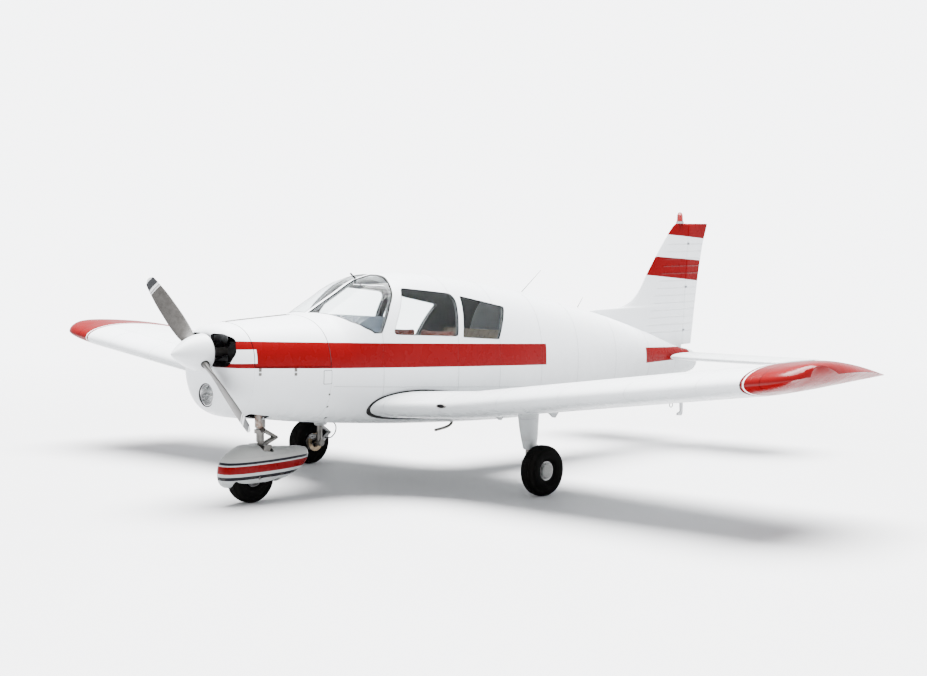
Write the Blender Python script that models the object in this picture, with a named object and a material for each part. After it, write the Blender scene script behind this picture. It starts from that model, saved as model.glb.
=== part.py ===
# Light aircraft: a four-seat, low-wing, single-engine trainer on fixed tricycle gear.
# Nose points to -Y, the aircraft's left side is +X, up is +Z, metres.
# Stations along the body are written as distance aft of the nose wheel's axle and
# shifted so that the middle of the whole length lies on Y = 0.
import math
import bmesh
import bpy
from mathutils import Matrix, Vector

# Driving dimensions
MID_Y = 2.776               # station of the middle of the length
GAP = 0.0004                # gap between pieces that touch
SEAM = 0.006                # gap round a moving panel
SKIN = 0.035                # cabin wall, with its lining
COWL = 0.012                # cowl sheet with its stiffener
HUB_Z = 1.28                # propeller shaft above the ground
PROP_Y = -0.530
PROP_R = 0.885
SPINNER_R = 0.154
SPINNER_TIP = -0.800
BOWL_FRONT = -0.450
BOWL_SEAM = -0.27
FIREWALL = 0.435
CABIN_END = 3.10
TAIL_END = 6.12
TYRE_R = 0.217
TYRE_W = 0.155
TRACK = 1.52                # half track
AXLE_Y = 1.955
STEER_Y = 0.110
WING_LE = 1.164
CHORD = 1.60
WING_Z = 0.779              # leading edge height at the kink
KINK_X = 1.07
DIHEDRAL = math.tan(math.radians(7.0))
DROP_ROOT = 0.120           # leading edge down to trailing edge, at the kink
DROP_TIP = 0.045            # and at the tip joint
TIP_JOINT = 4.11
HALF_SPAN = 4.60
SURF_CHORD = 0.30           # flap and aileron, hinge to trailing edge
STAB_Z = 0.935
STAB_LE = 5.470
STAB_CHORD = 0.76
STAB_HALF = 1.525
STAB_ROOT = 0.195
STAB_HINGE = 5.670
TAB_CHORD = 0.12

for old in list(bpy.data.objects):
    bpy.data.objects.remove(old, do_unlink=True)

MATERIALS = {
    "white_paint": ((0.86, 0.87, 0.87, 1.0), 0.0, 0.3),
    "red_paint": ((0.62, 0.03, 0.03, 1.0), 0.0, 0.3),
    "grey_paint": ((0.30, 0.31, 0.33, 1.0), 0.0, 0.45),
    "steel": ((0.45, 0.45, 0.47, 1.0), 1.0, 0.4),
    "alloy": ((0.70, 0.71, 0.72, 1.0), 1.0, 0.35),
    "iron": ((0.20, 0.20, 0.21, 1.0), 1.0, 0.6),
    "tyre_rubber": ((0.03, 0.03, 0.03, 1.0), 0.0, 0.8),
    "glass": ((0.80, 0.85, 0.85, 0.3), 0.0, 0.05),
    "cloth": ((0.45, 0.42, 0.40, 1.0), 0.0, 0.9),
    "dark_plastic": ((0.10, 0.11, 0.13, 1.0), 0.0, 0.6),
    "lamp_red": ((0.60, 0.02, 0.02, 1.0), 0.0, 0.2),
}


def material(name):
    mat = bpy.data.materials.get(name)
    if mat:
        return mat
    colour, metal, rough = MATERIALS[name]
    mat = bpy.data.materials.new(name)
    mat.use_nodes = True
    shader = mat.node_tree.nodes["Principled BSDF"]
    shader.inputs["Base Color"].default_value = colour
    shader.inputs["Metallic"].default_value = metal
    shader.inputs["Roughness"].default_value = rough
    mat.diffuse_color = colour
    return mat


def finish(bm, name, mat, cutter=False):
    """Turn a bmesh in station coordinates into an object."""
    bmesh.ops.translate(bm, verts=bm.verts, vec=(0.0, -MID_Y, 0.0))
    bmesh.ops.recalc_face_normals(bm, faces=bm.faces)
    mesh = bpy.data.meshes.new(name)
    bm.to_mesh(mesh)
    bm.free()
    obj = bpy.data.objects.new(name, mesh)
    bpy.context.scene.collection.objects.link(obj)
    if mat:
        mesh.materials.append(material(mat))
    if cutter:
        obj.hide_render = True
        obj.display_type = "WIRE"
    return obj


def loft(rings, split=False):
    """Closed body from a row of rings with equal point counts, ends capped."""
    bm = bmesh.new()
    rows = []
    for ring in rings:
        rows.append([bm.verts.new(p) for p in ring])
    count = len(rows[0])
    for a, b in zip(rows, rows[1:]):
        for i in range(count):
            j = (i + 1) % count
            if split:
                bm.faces.new((a[i], a[j], b[j]))
                bm.faces.new((a[i], b[j], b[i]))
            else:
                bm.faces.new((a[i], a[j], b[j], b[i]))
    bm.faces.new(list(reversed(rows[0])))
    bm.faces.new(rows[-1])
    return bm


def prism(points, lo, hi, axis="X"):
    """Outline pushed along one axis; points are in the other two, in order."""
    rings = []
    for value in (lo, hi):
        ring = []
        for a, b in points:
            if axis == "X":
                ring.append((value, a, b))
            elif axis == "Y":
                ring.append((a, value, b))
            else:
                ring.append((a, b, value))
        rings.append(ring)
    return loft(rings)


def box(x0, x1, y0, y1, z0, z1):
    return prism([(x0, y0), (x1, y0), (x1, y1), (x0, y1)], z0, z1, "Z")


def rounded(points, radius, steps=4):
    """Polygon with its corners rounded by arcs."""
    out = []
    n = len(points)
    for i in range(n):
        p = Vector(points[i])
        a = (Vector(points[i - 1]) - p)
        b = (Vector(points[(i + 1) % n]) - p)
        r = radius[i] if isinstance(radius, (list, tuple)) else radius
        ua, ub = a.normalized(), b.normalized()
        half = ua.angle(ub) / 2.0
        cut = min(r / math.tan(half), 0.49 * min(a.length, b.length))
        real = cut * math.tan(half)
        centre = p + (ua + ub).normalized() * (real / math.sin(half))
        start = (p + ua * cut) - centre
        end = (p + ub * cut) - centre
        turn = start.angle_signed(end)
        for k in range(steps + 1):
            t = -turn * k / steps
            c, s = math.cos(t), math.sin(t)
            out.append((centre.x + start.x * c - start.y * s,
                        centre.y + start.x * s + start.y * c))
    return out


def circle(radius, count, centre=(0.0, 0.0), start=0.0):
    return [(centre[0] + radius * math.cos(start + 2 * math.pi * i / count),
             centre[1] + radius * math.sin(start + 2 * math.pi * i / count))
            for i in range(count)]


def tube_rings(path, radius, count=10):
    """Rings of a round bar along a path; radius may be one per point."""
    rings = []
    up = Vector((0.0, 0.0, 1.0))
    for i, p in enumerate(path):
        a = Vector(path[max(i - 1, 0)])
        b = Vector(path[min(i + 1, len(path) - 1)])
        d = (b - a).normalized()
        ref = Vector((1.0, 0.0, 0.0)) if abs(d.dot(up)) > 0.8 else up
        u = d.cross(ref).normalized()
        v = d.cross(u).normalized()
        r = radius[i] if isinstance(radius, (list, tuple)) else radius
        rings.append([Vector(p) + u * (r * math.cos(2 * math.pi * k / count))
                      + v * (r * math.sin(2 * math.pi * k / count)) for k in range(count)])
    return rings


def rod(path, radius, count=10):
    return loft(tube_rings(path, radius, count))


def turned(profile, centre, count=32, axis="X"):
    """Solid of revolution; profile is (along the axis, radius), never on the axis itself
    except at its ends. A ring profile that closes on itself is given with its first point
    repeated at the end."""
    bm = bmesh.new()
    closed = profile[0] == profile[-1]
    pts = profile[:-1] if closed else profile
    rows = []
    for along, r in pts:
        if r < 1e-7:
            q = {"X": (along, 0, 0), "Y": (0, along, 0), "Z": (0, 0, along)}[axis]
            rows.append([bm.verts.new(Vector(centre) + Vector(q))])
            continue
        row = []
        for k in range(count):
            c = r * math.cos(2 * math.pi * k / count)
            s = r * math.sin(2 * math.pi * k / count)
            q = {"X": (along, c, s), "Y": (s, along, c), "Z": (c, s, along)}[axis]
            row.append(bm.verts.new(Vector(centre) + Vector(q)))
        rows.append(row)
    pairs = list(zip(rows, rows[1:]))
    if closed:
        pairs.append((rows[-1], rows[0]))
    for a, b in pairs:
        for k in range(count):
            j = (k + 1) % count
            if len(a) == 1:
                bm.faces.new((a[0], b[k], b[j]))
            elif len(b) == 1:
                bm.faces.new((a[k], a[j], b[0]))
            else:
                bm.faces.new((a[k], a[j], b[j], b[k]))
    if not closed:
        for row in (rows[0], rows[-1]):
            if len(row) > 1:
                bm.faces.new(row)
    return bm


def boolean(obj, tool, operation="DIFFERENCE"):
    mod = obj.modifiers.new(operation.title(), "BOOLEAN")
    mod.operation = operation
    mod.solver = "EXACT"
    mod.object = tool
    return obj


CUTTERS = [0]


def tool(bm):
    CUTTERS[0] += 1
    return finish(bm, "cutter_%02d" % CUTTERS[0], None, True)


def cut(obj, *bodies):
    for bm in bodies:
        boolean(obj, tool(bm))
    return obj


def add(obj, *bodies):
    for bm in bodies:
        boolean(obj, tool(bm), "UNION")
    return obj


def smooth(obj, angle=35.0):
    for poly in obj.data.polygons:
        poly.use_smooth = True
    return obj


def pivot(obj, point):
    """Move the object's origin to a joint axis, given in station coordinates."""
    p = Vector((point[0], point[1] - MID_Y, point[2]))
    obj.data.transform(Matrix.Translation(-p))
    obj.location = p
    return obj


# Body sections
# station, half width, bottom, widest height, top, roundness below, roundness above
SECTIONS = [
    (-0.450, 0.255, 0.870, 1.20, 1.430, 2.4, 2.4),
    (-0.430, 0.305, 0.822, 1.20, 1.462, 2.4, 2.4),
    (-0.375, 0.358, 0.775, 1.20, 1.496, 2.4, 2.4),
    (-0.270, 0.405, 0.738, 1.19, 1.518, 2.5, 2.4),
    (0.100, 0.480, 0.690, 1.15, 1.540, 2.6, 2.5),
    (0.435, 0.540, 0.648, 1.12, 1.556, 2.8, 2.5),
    (0.625, 0.555, 0.628, 1.11, 1.564, 2.9, 2.5),
    (0.900, 0.570, 0.602, 1.10, 1.704, 3.0, 2.8),
    (1.217, 0.578, 0.574, 1.09, 1.850, 3.0, 3.0),
    (1.550, 0.578, 0.548, 1.09, 1.896, 3.0, 2.9),
    (2.000, 0.572, 0.520, 1.09, 1.874, 3.0, 2.7),
    (2.600, 0.548, 0.490, 1.08, 1.795, 2.9, 2.5),
    (3.100, 0.500, 0.476, 1.06, 1.710, 2.8, 2.4),
    (3.700, 0.420, 0.508, 1.03, 1.585, 2.6, 2.3),
    (4.500, 0.305, 0.586, 0.99, 1.412, 2.4, 2.2),
    (5.250, 0.197, 0.666, 0.94, 1.205, 2.2, 2.0),
    (5.850, 0.105, 0.726, 0.885, 1.018, 2.0, 2.0),
    (6.060, 0.070, 0.752, 0.875, 0.976, 2.0, 2.0),
    (6.120, 0.045, 0.785, 0.870, 0.950, 2.0, 2.0),
]


def section_at(y):
    rows = SECTIONS
    if y <= rows[0][0]:
        return rows[0]
    for a, b in zip(rows, rows[1:]):
        if y <= b[0] + 1e-9:
            t = (y - a[0]) / (b[0] - a[0])
            return tuple(a[i] + (b[i] - a[i]) * t for i in range(7))
    return rows[-1]


def ring_at(y, inset, count=36):
    _, w, zb, zm, zt, nl, nu = section_at(y)
    w, zb, zt = w - inset, zb + inset, zt - inset
    ring = []
    for k in range(count):
        t = 2 * math.pi * k / count
        c, s = math.cos(t), math.sin(t)
        n, h = (nu, zt - zm) if s >= 0 else (nl, zm - zb)
        x = w * math.copysign(abs(c) ** (2.0 / n), c)
        z = zm + h * math.copysign(abs(s) ** (2.0 / n), s)
        ring.append((x, y, z))
    return ring


def body_loft(inset, y0, y1, count=36):
    ys = [y0] + [r[0] for r in SECTIONS if y0 + 0.01 < r[0] < y1 - 0.01] + [y1]
    return loft([ring_at(y, inset, count) for y in ys], True)


# Engine bay
LAMP_Z = 0.930
bowl = finish(body_loft(0.0, BOWL_FRONT, BOWL_SEAM), "cowl_nose", "white_paint")
cut(bowl, body_loft(COWL, BOWL_FRONT + 0.03, BOWL_SEAM + 0.02))
cut(bowl, prism(circle(0.125, 24, (0.0, HUB_Z)), -0.60, -0.30, "Y"))
for side in (1, -1):
    mouth = rounded([(side * 0.100, 1.175), (side * 0.270, 1.180), (side * 0.320, 1.245),
                     (side * 0.312, 1.365), (side * 0.220, 1.425),
                     (side * 0.100, 1.425)][::side], 0.035)
    cut(bowl, prism(mouth, -0.60, -0.30, "Y"))
cut(bowl, prism(circle(0.098, 24, (0.0, LAMP_Z)), -0.60, -0.36, "Y"))
smooth(bowl)

lamp = finish(turned([(-0.4445, 0.0), (-0.442, 0.05), (-0.437, 0.086), (-0.432, 0.0976),
                      (-0.365, 0.0976), (-0.335, 0.045), (-0.330, 0.0)], (0.0, 0.0, LAMP_Z), 24,
                     "Y"), "landing_light", "glass")
smooth(lamp)

DOOR_Z = (1.176, 1.128)     # lower edge of the cowl doors, 0.5 m ahead of the axle and 0.6 m aft


def above_line(x0, x1, lift=0.0):
    """Space above the cowl doors' lower edge."""
    return prism([(-0.5, DOOR_Z[0] + lift), (0.6, DOOR_Z[1] + lift), (0.6, 2.0), (-0.5, 2.0)],
                 x0, x1, "X")


HINGE_X = 0.024
lower = finish(body_loft(0.0, BOWL_SEAM + GAP, FIREWALL - GAP), "cowl_lower", "white_paint")
cut(lower, body_loft(COWL, BOWL_SEAM - 0.02, FIREWALL + 0.02))
cut(lower, above_line(-0.8, 0.8))
smooth(lower)

strip = finish(body_loft(0.0, BOWL_SEAM + GAP, FIREWALL - GAP), "cowl_hinge_strip", "white_paint")
cut(strip, body_loft(COWL, BOWL_SEAM - 0.02, FIREWALL + 0.02))
boolean(strip, tool(box(-HINGE_X + 0.003, HINGE_X - 0.003, -0.5, 0.6, 1.3, 2.0)), "INTERSECT")

for side, label in ((1, "left"), (-1, "right")):
    door = finish(body_loft(0.0, BOWL_SEAM + SEAM, FIREWALL - SEAM), "cowl_door_" + label,
                  "white_paint")
    cut(door, body_loft(COWL, BOWL_SEAM - 0.02, FIREWALL + 0.02))
    x0, x1 = sorted((side * HINGE_X, side * 0.8))
    boolean(door, tool(above_line(x0, x1, SEAM)), "INTERSECT")
    hinge = [(side * HINGE_X, y, 1.537 + (y - 0.0825) * 0.0539)
             for y in (BOWL_SEAM + SEAM, FIREWALL - SEAM)]
    add(door, rod(hinge, 0.003, 10))
    cut(strip, rod([(p[0], p[1] + k, p[2] + k * 0.0539) for p, k in zip(hinge, (-0.1, 0.1))],
                   0.0037, 10))
    smooth(door)
    pivot(door, (side * HINGE_X, 0.0825, 1.537))

smooth(strip)

engine = finish(box(-0.315, 0.315, -0.14, FIREWALL, 0.88, 1.35), "engine_block", "iron")
cut(engine, prism(circle(0.036, 28, (0.0, HUB_Z)), -0.3, -0.02, "Y"))

exhaust = finish(rod([(0.20, -0.06, 0.8797), (0.20, -0.06, 0.80), (0.20, -0.075, 0.70), (0.20, -0.055, 0.655),
                      (0.20, -0.02, 0.622)], 0.026, 16), "exhaust_pipe", "steel")
cut(exhaust, rod([(0.20, -0.075, 0.72), (0.20, -0.055, 0.655), (0.20, -0.01, 0.613)], 0.022, 16))
smooth(exhaust)
cut(lower, prism(rounded([(0.150, -0.20), (0.250, -0.20), (0.250, 0.02), (0.150, 0.02)], 0.035),
                 0.5, 0.85, "Z"))

# Propeller
spin_rows = [(SPINNER_TIP, 0.0)]
for k in range(1, 9):
    t = k / 8.0
    spin_rows.append((SPINNER_TIP + (PROP_Y + 0.055 - SPINNER_TIP) * t,
                      SPINNER_R * math.sin(math.pi / 2 * t) ** 0.85))
spin_rows += [(PROP_Y + 0.055, 0.0585), (PROP_Y - 0.0445, 0.0585), (PROP_Y - 0.0445, 0.0)]
spinner = finish(turned(spin_rows, (0.0, 0.0, HUB_Z), 24, "Y"), "spinner", "grey_paint")
BLADE = math.radians(138.5)


def blade_ring(r, chord, thick, twist):
    """Blade section at a radius, laid out along +X before it is turned."""
    ring = []
    for k in range(10):
        t = 2 * math.pi * k / 10
        u = 0.5 * chord * math.cos(t)
        v = 0.5 * thick * math.sin(t) * (1.0 + 0.25 * math.cos(t))
        a = math.radians(twist)
        y = v * math.cos(a) - u * math.sin(a)
        z = u * math.cos(a) + v * math.sin(a)
        ring.append(Vector((r, y, z)))
    return ring


BLADE_ROWS = [(-0.05, 0.07, 0.068, 60), (0.06, 0.075, 0.066, 58), (0.14, 0.10, 0.050, 50),
              (0.25, 0.135, 0.030, 40), (0.40, 0.15, 0.022, 31), (0.60, 0.145, 0.016, 24),
              (0.77, 0.12, 0.011, 19), (0.86, 0.095, 0.008, 17), (PROP_R, 0.055, 0.006, 16)]


def blade(turn, grow=0.0):
    rows = []
    for r, chord, thick, twist in BLADE_ROWS:
        ring = blade_ring(r, chord + 2 * grow, thick + 2 * grow, twist)
        m = Matrix.Rotation(-turn, 4, "Y")
        rows.append([m @ p + Vector((0.0, PROP_Y, HUB_Z)) for p in ring])
    return loft(rows, True)


propeller = finish(turned([(PROP_Y - 0.044, 0.0), (PROP_Y - 0.044, 0.058),
                           (PROP_Y + 0.054, 0.058), (PROP_Y + 0.054, 0.035),
                           (-0.06, 0.035), (-0.06, 0.0)], (0.0, 0.0, HUB_Z), 28, "Y"),
                   "propeller", "grey_paint")
add(propeller, blade(BLADE), blade(BLADE + math.pi))
smooth(propeller)
cut(spinner, blade(BLADE, 0.004), blade(BLADE + math.pi, 0.004))
smooth(spinner)
pivot(propeller, (0.0, PROP_Y, HUB_Z))
pivot(spinner, (0.0, PROP_Y, HUB_Z))

# Cabin
WIN_FRONT = [(1.115, 1.378), (1.350, 1.768), (1.975, 1.700), (1.912, 1.327)]
WIN_REAR = [(1.976, 1.316), (2.040, 1.680), (2.625, 1.565), (2.460, 1.276)]
DOOR = [(1.050, 0.965), (1.050, 1.375), (1.308, 1.790), (2.006, 1.752), (1.940, 1.30),
        (1.940, 0.965)]
WIN_R = [0.04, 0.05, 0.09, 0.04]


def grown(points, amount):
    """Polygon pushed outward (positive) or inward by a distance."""
    n = len(points)
    area = sum(points[i][0] * points[(i + 1) % n][1] - points[(i + 1) % n][0] * points[i][1]
               for i in range(n))
    sign = 1.0 if area > 0 else -1.0
    out = []
    for i in range(n):
        p = Vector(points[i])
        a = (p - Vector(points[i - 1])).normalized()
        b = (Vector(points[(i + 1) % n]) - p).normalized()
        na = Vector((a.y, -a.x)) * sign
        nb = Vector((b.y, -b.x)) * sign
        m = (na + nb).normalized()
        q = p + m * (amount / max(m.dot(na), 0.3))
        out.append((q.x, q.y))
    return out


def pane_body(side, grow=0.0):
    """Windshield half: its outline from above, kept ahead of its outline from the side."""
    plan = grown([(0.020, 0.629), (0.195, 0.648), (0.327, 0.681), (0.439, 0.735), (0.514, 0.838),
                  (0.550, 0.945), (0.64, 1.040), (0.64, 1.45), (0.020, 1.45)], grow)
    obj = finish(prism([(side * x, y) for x, y in plan], 1.395, 2.0, "Z"), "pane", "glass")
    rake = grown([(0.50, 1.395), (1.000, 1.395), (1.147, 1.62), (1.223, 1.711), (1.268, 1.790),
                  (1.305, 1.835), (1.375, 1.890), (1.375, 2.05), (0.50, 2.05)], grow)
    boolean(obj, tool(prism(rake, -0.8, 0.8, "X")), "INTERSECT")
    return obj


cabin = finish(body_loft(0.0, FIREWALL + GAP, CABIN_END), "cabin", "white_paint")
cut(cabin, body_loft(SKIN, FIREWALL + 0.03, CABIN_END + 0.05))
for side in (1, -1):
    x0, x1 = sorted((side * 0.2, side * 0.8))
    cut(cabin, prism(rounded(WIN_REAR, WIN_R), x0, x1, "X"))
    shade = pane_body(side)
    shade.name = "cutter_windshield_%d" % (side + 1)
    shade.hide_render = True
    shade.display_type = "WIRE"
    boolean(cabin, shade)
cut(cabin, prism(rounded(WIN_FRONT, WIN_R), 0.2, 0.8, "X"))
cut(cabin, prism(rounded(grown(DOOR, SEAM), 0.05), -0.8, -0.25, "X"))


def pane(name, shape):
    obj = finish(shape, name, "glass") if isinstance(shape, bmesh.types.BMesh) else shape
    obj.name = name
    boolean(obj, tool(body_loft(0.003, FIREWALL, CABIN_END)), "INTERSECT")
    boolean(obj, tool(body_loft(0.010, FIREWALL - 0.02, CABIN_END + 0.02)))
    return smooth(obj)


pane("window_front_left", prism(rounded(grown(WIN_FRONT, -GAP), WIN_R), 0.2, 0.8, "X"))
for side, label in ((1, "left"), (-1, "right")):
    x0, x1 = sorted((side * 0.2, side * 0.8))
    pane("window_rear_" + label, prism(rounded(grown(WIN_REAR, -GAP), WIN_R), x0, x1, "X"))
    pane("windshield_" + label, pane_body(side, -GAP))

door = finish(prism(rounded(DOOR, 0.05), -0.8, -0.25, "X"), "cabin_door", "white_paint")
boolean(door, tool(body_loft(0.0, FIREWALL, CABIN_END)), "INTERSECT")
boolean(door, tool(body_loft(SKIN, FIREWALL - 0.02, CABIN_END + 0.02)))
cut(door, prism(rounded(WIN_FRONT, WIN_R), -0.9, -0.2, "X"))

# Outside hinges of the cabin door, at its front edge
for z in (1.08, 1.30):
    for lo, hi in ((z - 0.045, z - 0.0204), (z + 0.0204, z + 0.045)):
        add(cabin, box(-0.584, -0.560, 1.015, 1.040, lo, hi),
            box(-0.584, -0.5765, 1.015, 1.051, lo, hi),
            rod([(-0.580, 1.051, lo), (-0.580, 1.051, hi)], 0.006, 12))
    add(door, box(-0.584, -0.560, 1.052, 1.085, z - 0.02, z + 0.02),
        rod([(-0.580, 1.051, z - 0.02), (-0.580, 1.051, z + 0.02)], 0.006, 12))
smooth(cabin)
smooth(door)
DOOR_AXIS = (-0.580, 1.051, 1.10)
pivot(door, DOOR_AXIS)
pane_right = pane("door_window", prism(rounded(grown(WIN_FRONT, -GAP), WIN_R), -0.8, -0.2, "X"))
pivot(pane_right, DOOR_AXIS)

floor = finish(box(-0.60, 0.60, 0.52, 3.0, 0.70, 0.73), "cabin_floor", "dark_plastic")
boolean(floor, tool(body_loft(SKIN + 0.0006, FIREWALL, CABIN_END)), "INTERSECT")
panel = finish(prism([(0.80, 1.30), (0.80, 1.44), (0.98, 1.46), (1.06, 1.42), (1.02, 1.08),
                      (0.98, 1.08)], -0.60, 0.60, "X"), "instrument_panel", "dark_plastic")
boolean(panel, tool(body_loft(SKIN + 0.0006, FIREWALL, CABIN_END)), "INTERSECT")
for side, label in ((1, "left"), (-1, "right")):
    x = side * 0.255
    seat = finish(prism(rounded([(1.42, 0.92), (1.40, 1.07), (1.78, 1.05), (1.93, 1.40),
                                 (2.02, 1.38), (1.90, 0.92)], 0.03, 2),
                        x - 0.21, x + 0.21, "X"), "seat_" + label, "cloth")
    frame = finish(box(x - 0.20, x + 0.20, 1.42, 1.88, 0.890, 0.9196), "seat_frame_" + label,
                   "steel")
    for fx in (x - 0.17, x + 0.17):
        add(frame, box(fx - 0.014, fx + 0.014, 1.40, 1.92, 0.7304, 0.755),
            rod([(fx, 1.46, 0.745), (fx, 1.50, 0.90)], 0.011, 12),
            rod([(fx, 1.86, 0.745), (fx, 1.82, 0.90)], 0.011, 12))
    cut(panel, rod([(x, 0.70, 1.22), (x, 1.20, 1.22)], 0.0124, 12))
    yoke = finish(rod([(x, 0.90, 1.22), (x, 1.22, 1.22)], 0.012, 12), "yoke_" + label,
                  "dark_plastic")
    add(yoke, rod([(x - 0.14, 1.235, 1.30), (x - 0.12, 1.235, 1.22), (x, 1.222, 1.215),
                   (x + 0.12, 1.235, 1.22), (x + 0.14, 1.235, 1.30)], 0.014))
bench = finish(prism(rounded([(2.10, 0.7304), (2.10, 1.05), (2.55, 1.02), (2.70, 1.38),
                              (2.80, 1.36), (2.68, 0.7304)], 0.03, 2), -0.44, 0.44, "X"),
               "rear_seat", "cloth")

# Tail cone
tail = finish(body_loft(0.0, CABIN_END + GAP, TAIL_END), "tail_cone", "white_paint")
cut(tail, body_loft(0.012, CABIN_END - 0.05, 5.35))
cut(tail, prism(circle(0.0263, 20, (STAB_HINGE, STAB_Z)), -0.3, 0.3, "X"))
smooth(tail)

# Wings


def foil(count=13):
    """Section of unit chord, upper side from the tail forward and back under."""
    ss = [0.5 - 0.5 * math.cos(math.pi * i / count) for i in range(count + 1)]

    def thick(s):
        return (0.2969 * math.sqrt(s) - 0.1260 * s - 0.3516 * s * s
                + 0.2843 * s ** 3 - 0.1036 * s ** 4) * 5.0

    up = [(s, 1.0 * thick(s)) for s in ss]
    return up, thick


UP, THICK = foil()
WING_T = 0.147


def wing_edge(x):
    """Leading edge station and height, trailing edge station and height."""
    z = WING_Z + (x - KINK_X) * DIHEDRAL
    le = WING_LE
    drop = DROP_ROOT + (DROP_TIP - DROP_ROOT) * max(x - KINK_X, 0.0) / (TIP_JOINT - KINK_X)
    te_z = z - drop
    if x < KINK_X:
        t = (KINK_X - x) / (KINK_X - 0.57)
        le = WING_LE - 0.2465 * t
        z += 0.055 * t
    return le, z, WING_LE + CHORD, te_z


def wing_mid(x, y):
    le, z, te, tz = wing_edge(x)
    s = (y - le) / (te - le)
    camber = 0.020 * 4 * s * (1 - s) * (te - le)
    return z + (tz - z) * s + camber


def wing_half(x, y):
    le, z, te, tz = wing_edge(x)
    s = min(max((y - le) / (te - le), 0.0), 1.0)
    return max(THICK(s) * WING_T * CHORD, 0.0025)


def wing_low(x, y):
    return wing_mid(x, y) - wing_half(x, y)


def wing_ring(x, shrink=1.0):
    le, z, te, tz = wing_edge(x)
    top, bottom = [], []
    for s, _ in UP:
        y = le + (te - le) * s
        h = max(THICK(s) * WING_T * CHORD, 0.0025 if s > 0.5 else 0.0) * shrink
        m = wing_mid(x, y)
        if s == 0.0:
            top.append((x, y, m))
        else:
            top.append((x, y, m + h))
            bottom.append((x, y, m - h))
    return top + bottom[::-1]


HINGE_Y = WING_LE + CHORD - SURF_CHORD


def squared(ring, mid, lean):
    """Lean a section so that it stands square to a hinge line that climbs outboard."""
    return [(p[0] - (p[2] - mid) * lean, p[1], p[2]) for p in ring]


def surface_ring(x, axis_y, mid, half, te_y, te_z):
    """Flap, aileron, rudder or tab section: round nose about the axis, straight to the edge."""
    r = half
    ring = []
    for k in range(9):
        t = math.pi / 2 + math.pi * k / 8
        ring.append((x, axis_y + r * math.cos(t), mid + r * math.sin(t)))
    ring.append((x, te_y, te_z - 0.003))
    ring.append((x, te_y, te_z + 0.003))
    return ring


def bay_ring(x, axis_y, mid, half, te_y, te_z, deep=0.0):
    """Space swept by such a surface, cut from the piece ahead of it."""
    ring = []
    for k in range(9):
        t = math.pi / 2 + math.pi * k / 8
        r = half + 0.006 + deep * max(0.0, k - 4) / 4
        ring.append((x, axis_y + r * math.cos(t), mid + r * math.sin(t)))
    ring.append((x, axis_y - deep, mid - half - 0.012 - 2 * deep))
    ring.append((x, axis_y - deep, mid - 0.3))
    ring.append((x, te_y + 0.2, mid - 0.3))
    ring.append((x, te_y + 0.2, mid + 0.3))
    ring.append((x, axis_y + 0.002, mid + 0.3))
    return ring


def hinge_z(x, x0, x1):
    """Height of the straight hinge line that runs between two stations of the span."""
    a, b = wing_mid(x0, HINGE_Y), wing_mid(x1, HINGE_Y)
    return a + (b - a) * (x - x0) / (x1 - x0)


def hinge_lean(x0, x1):
    return (wing_mid(x1, HINGE_Y) - wing_mid(x0, HINGE_Y)) / (x1 - x0)


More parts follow.
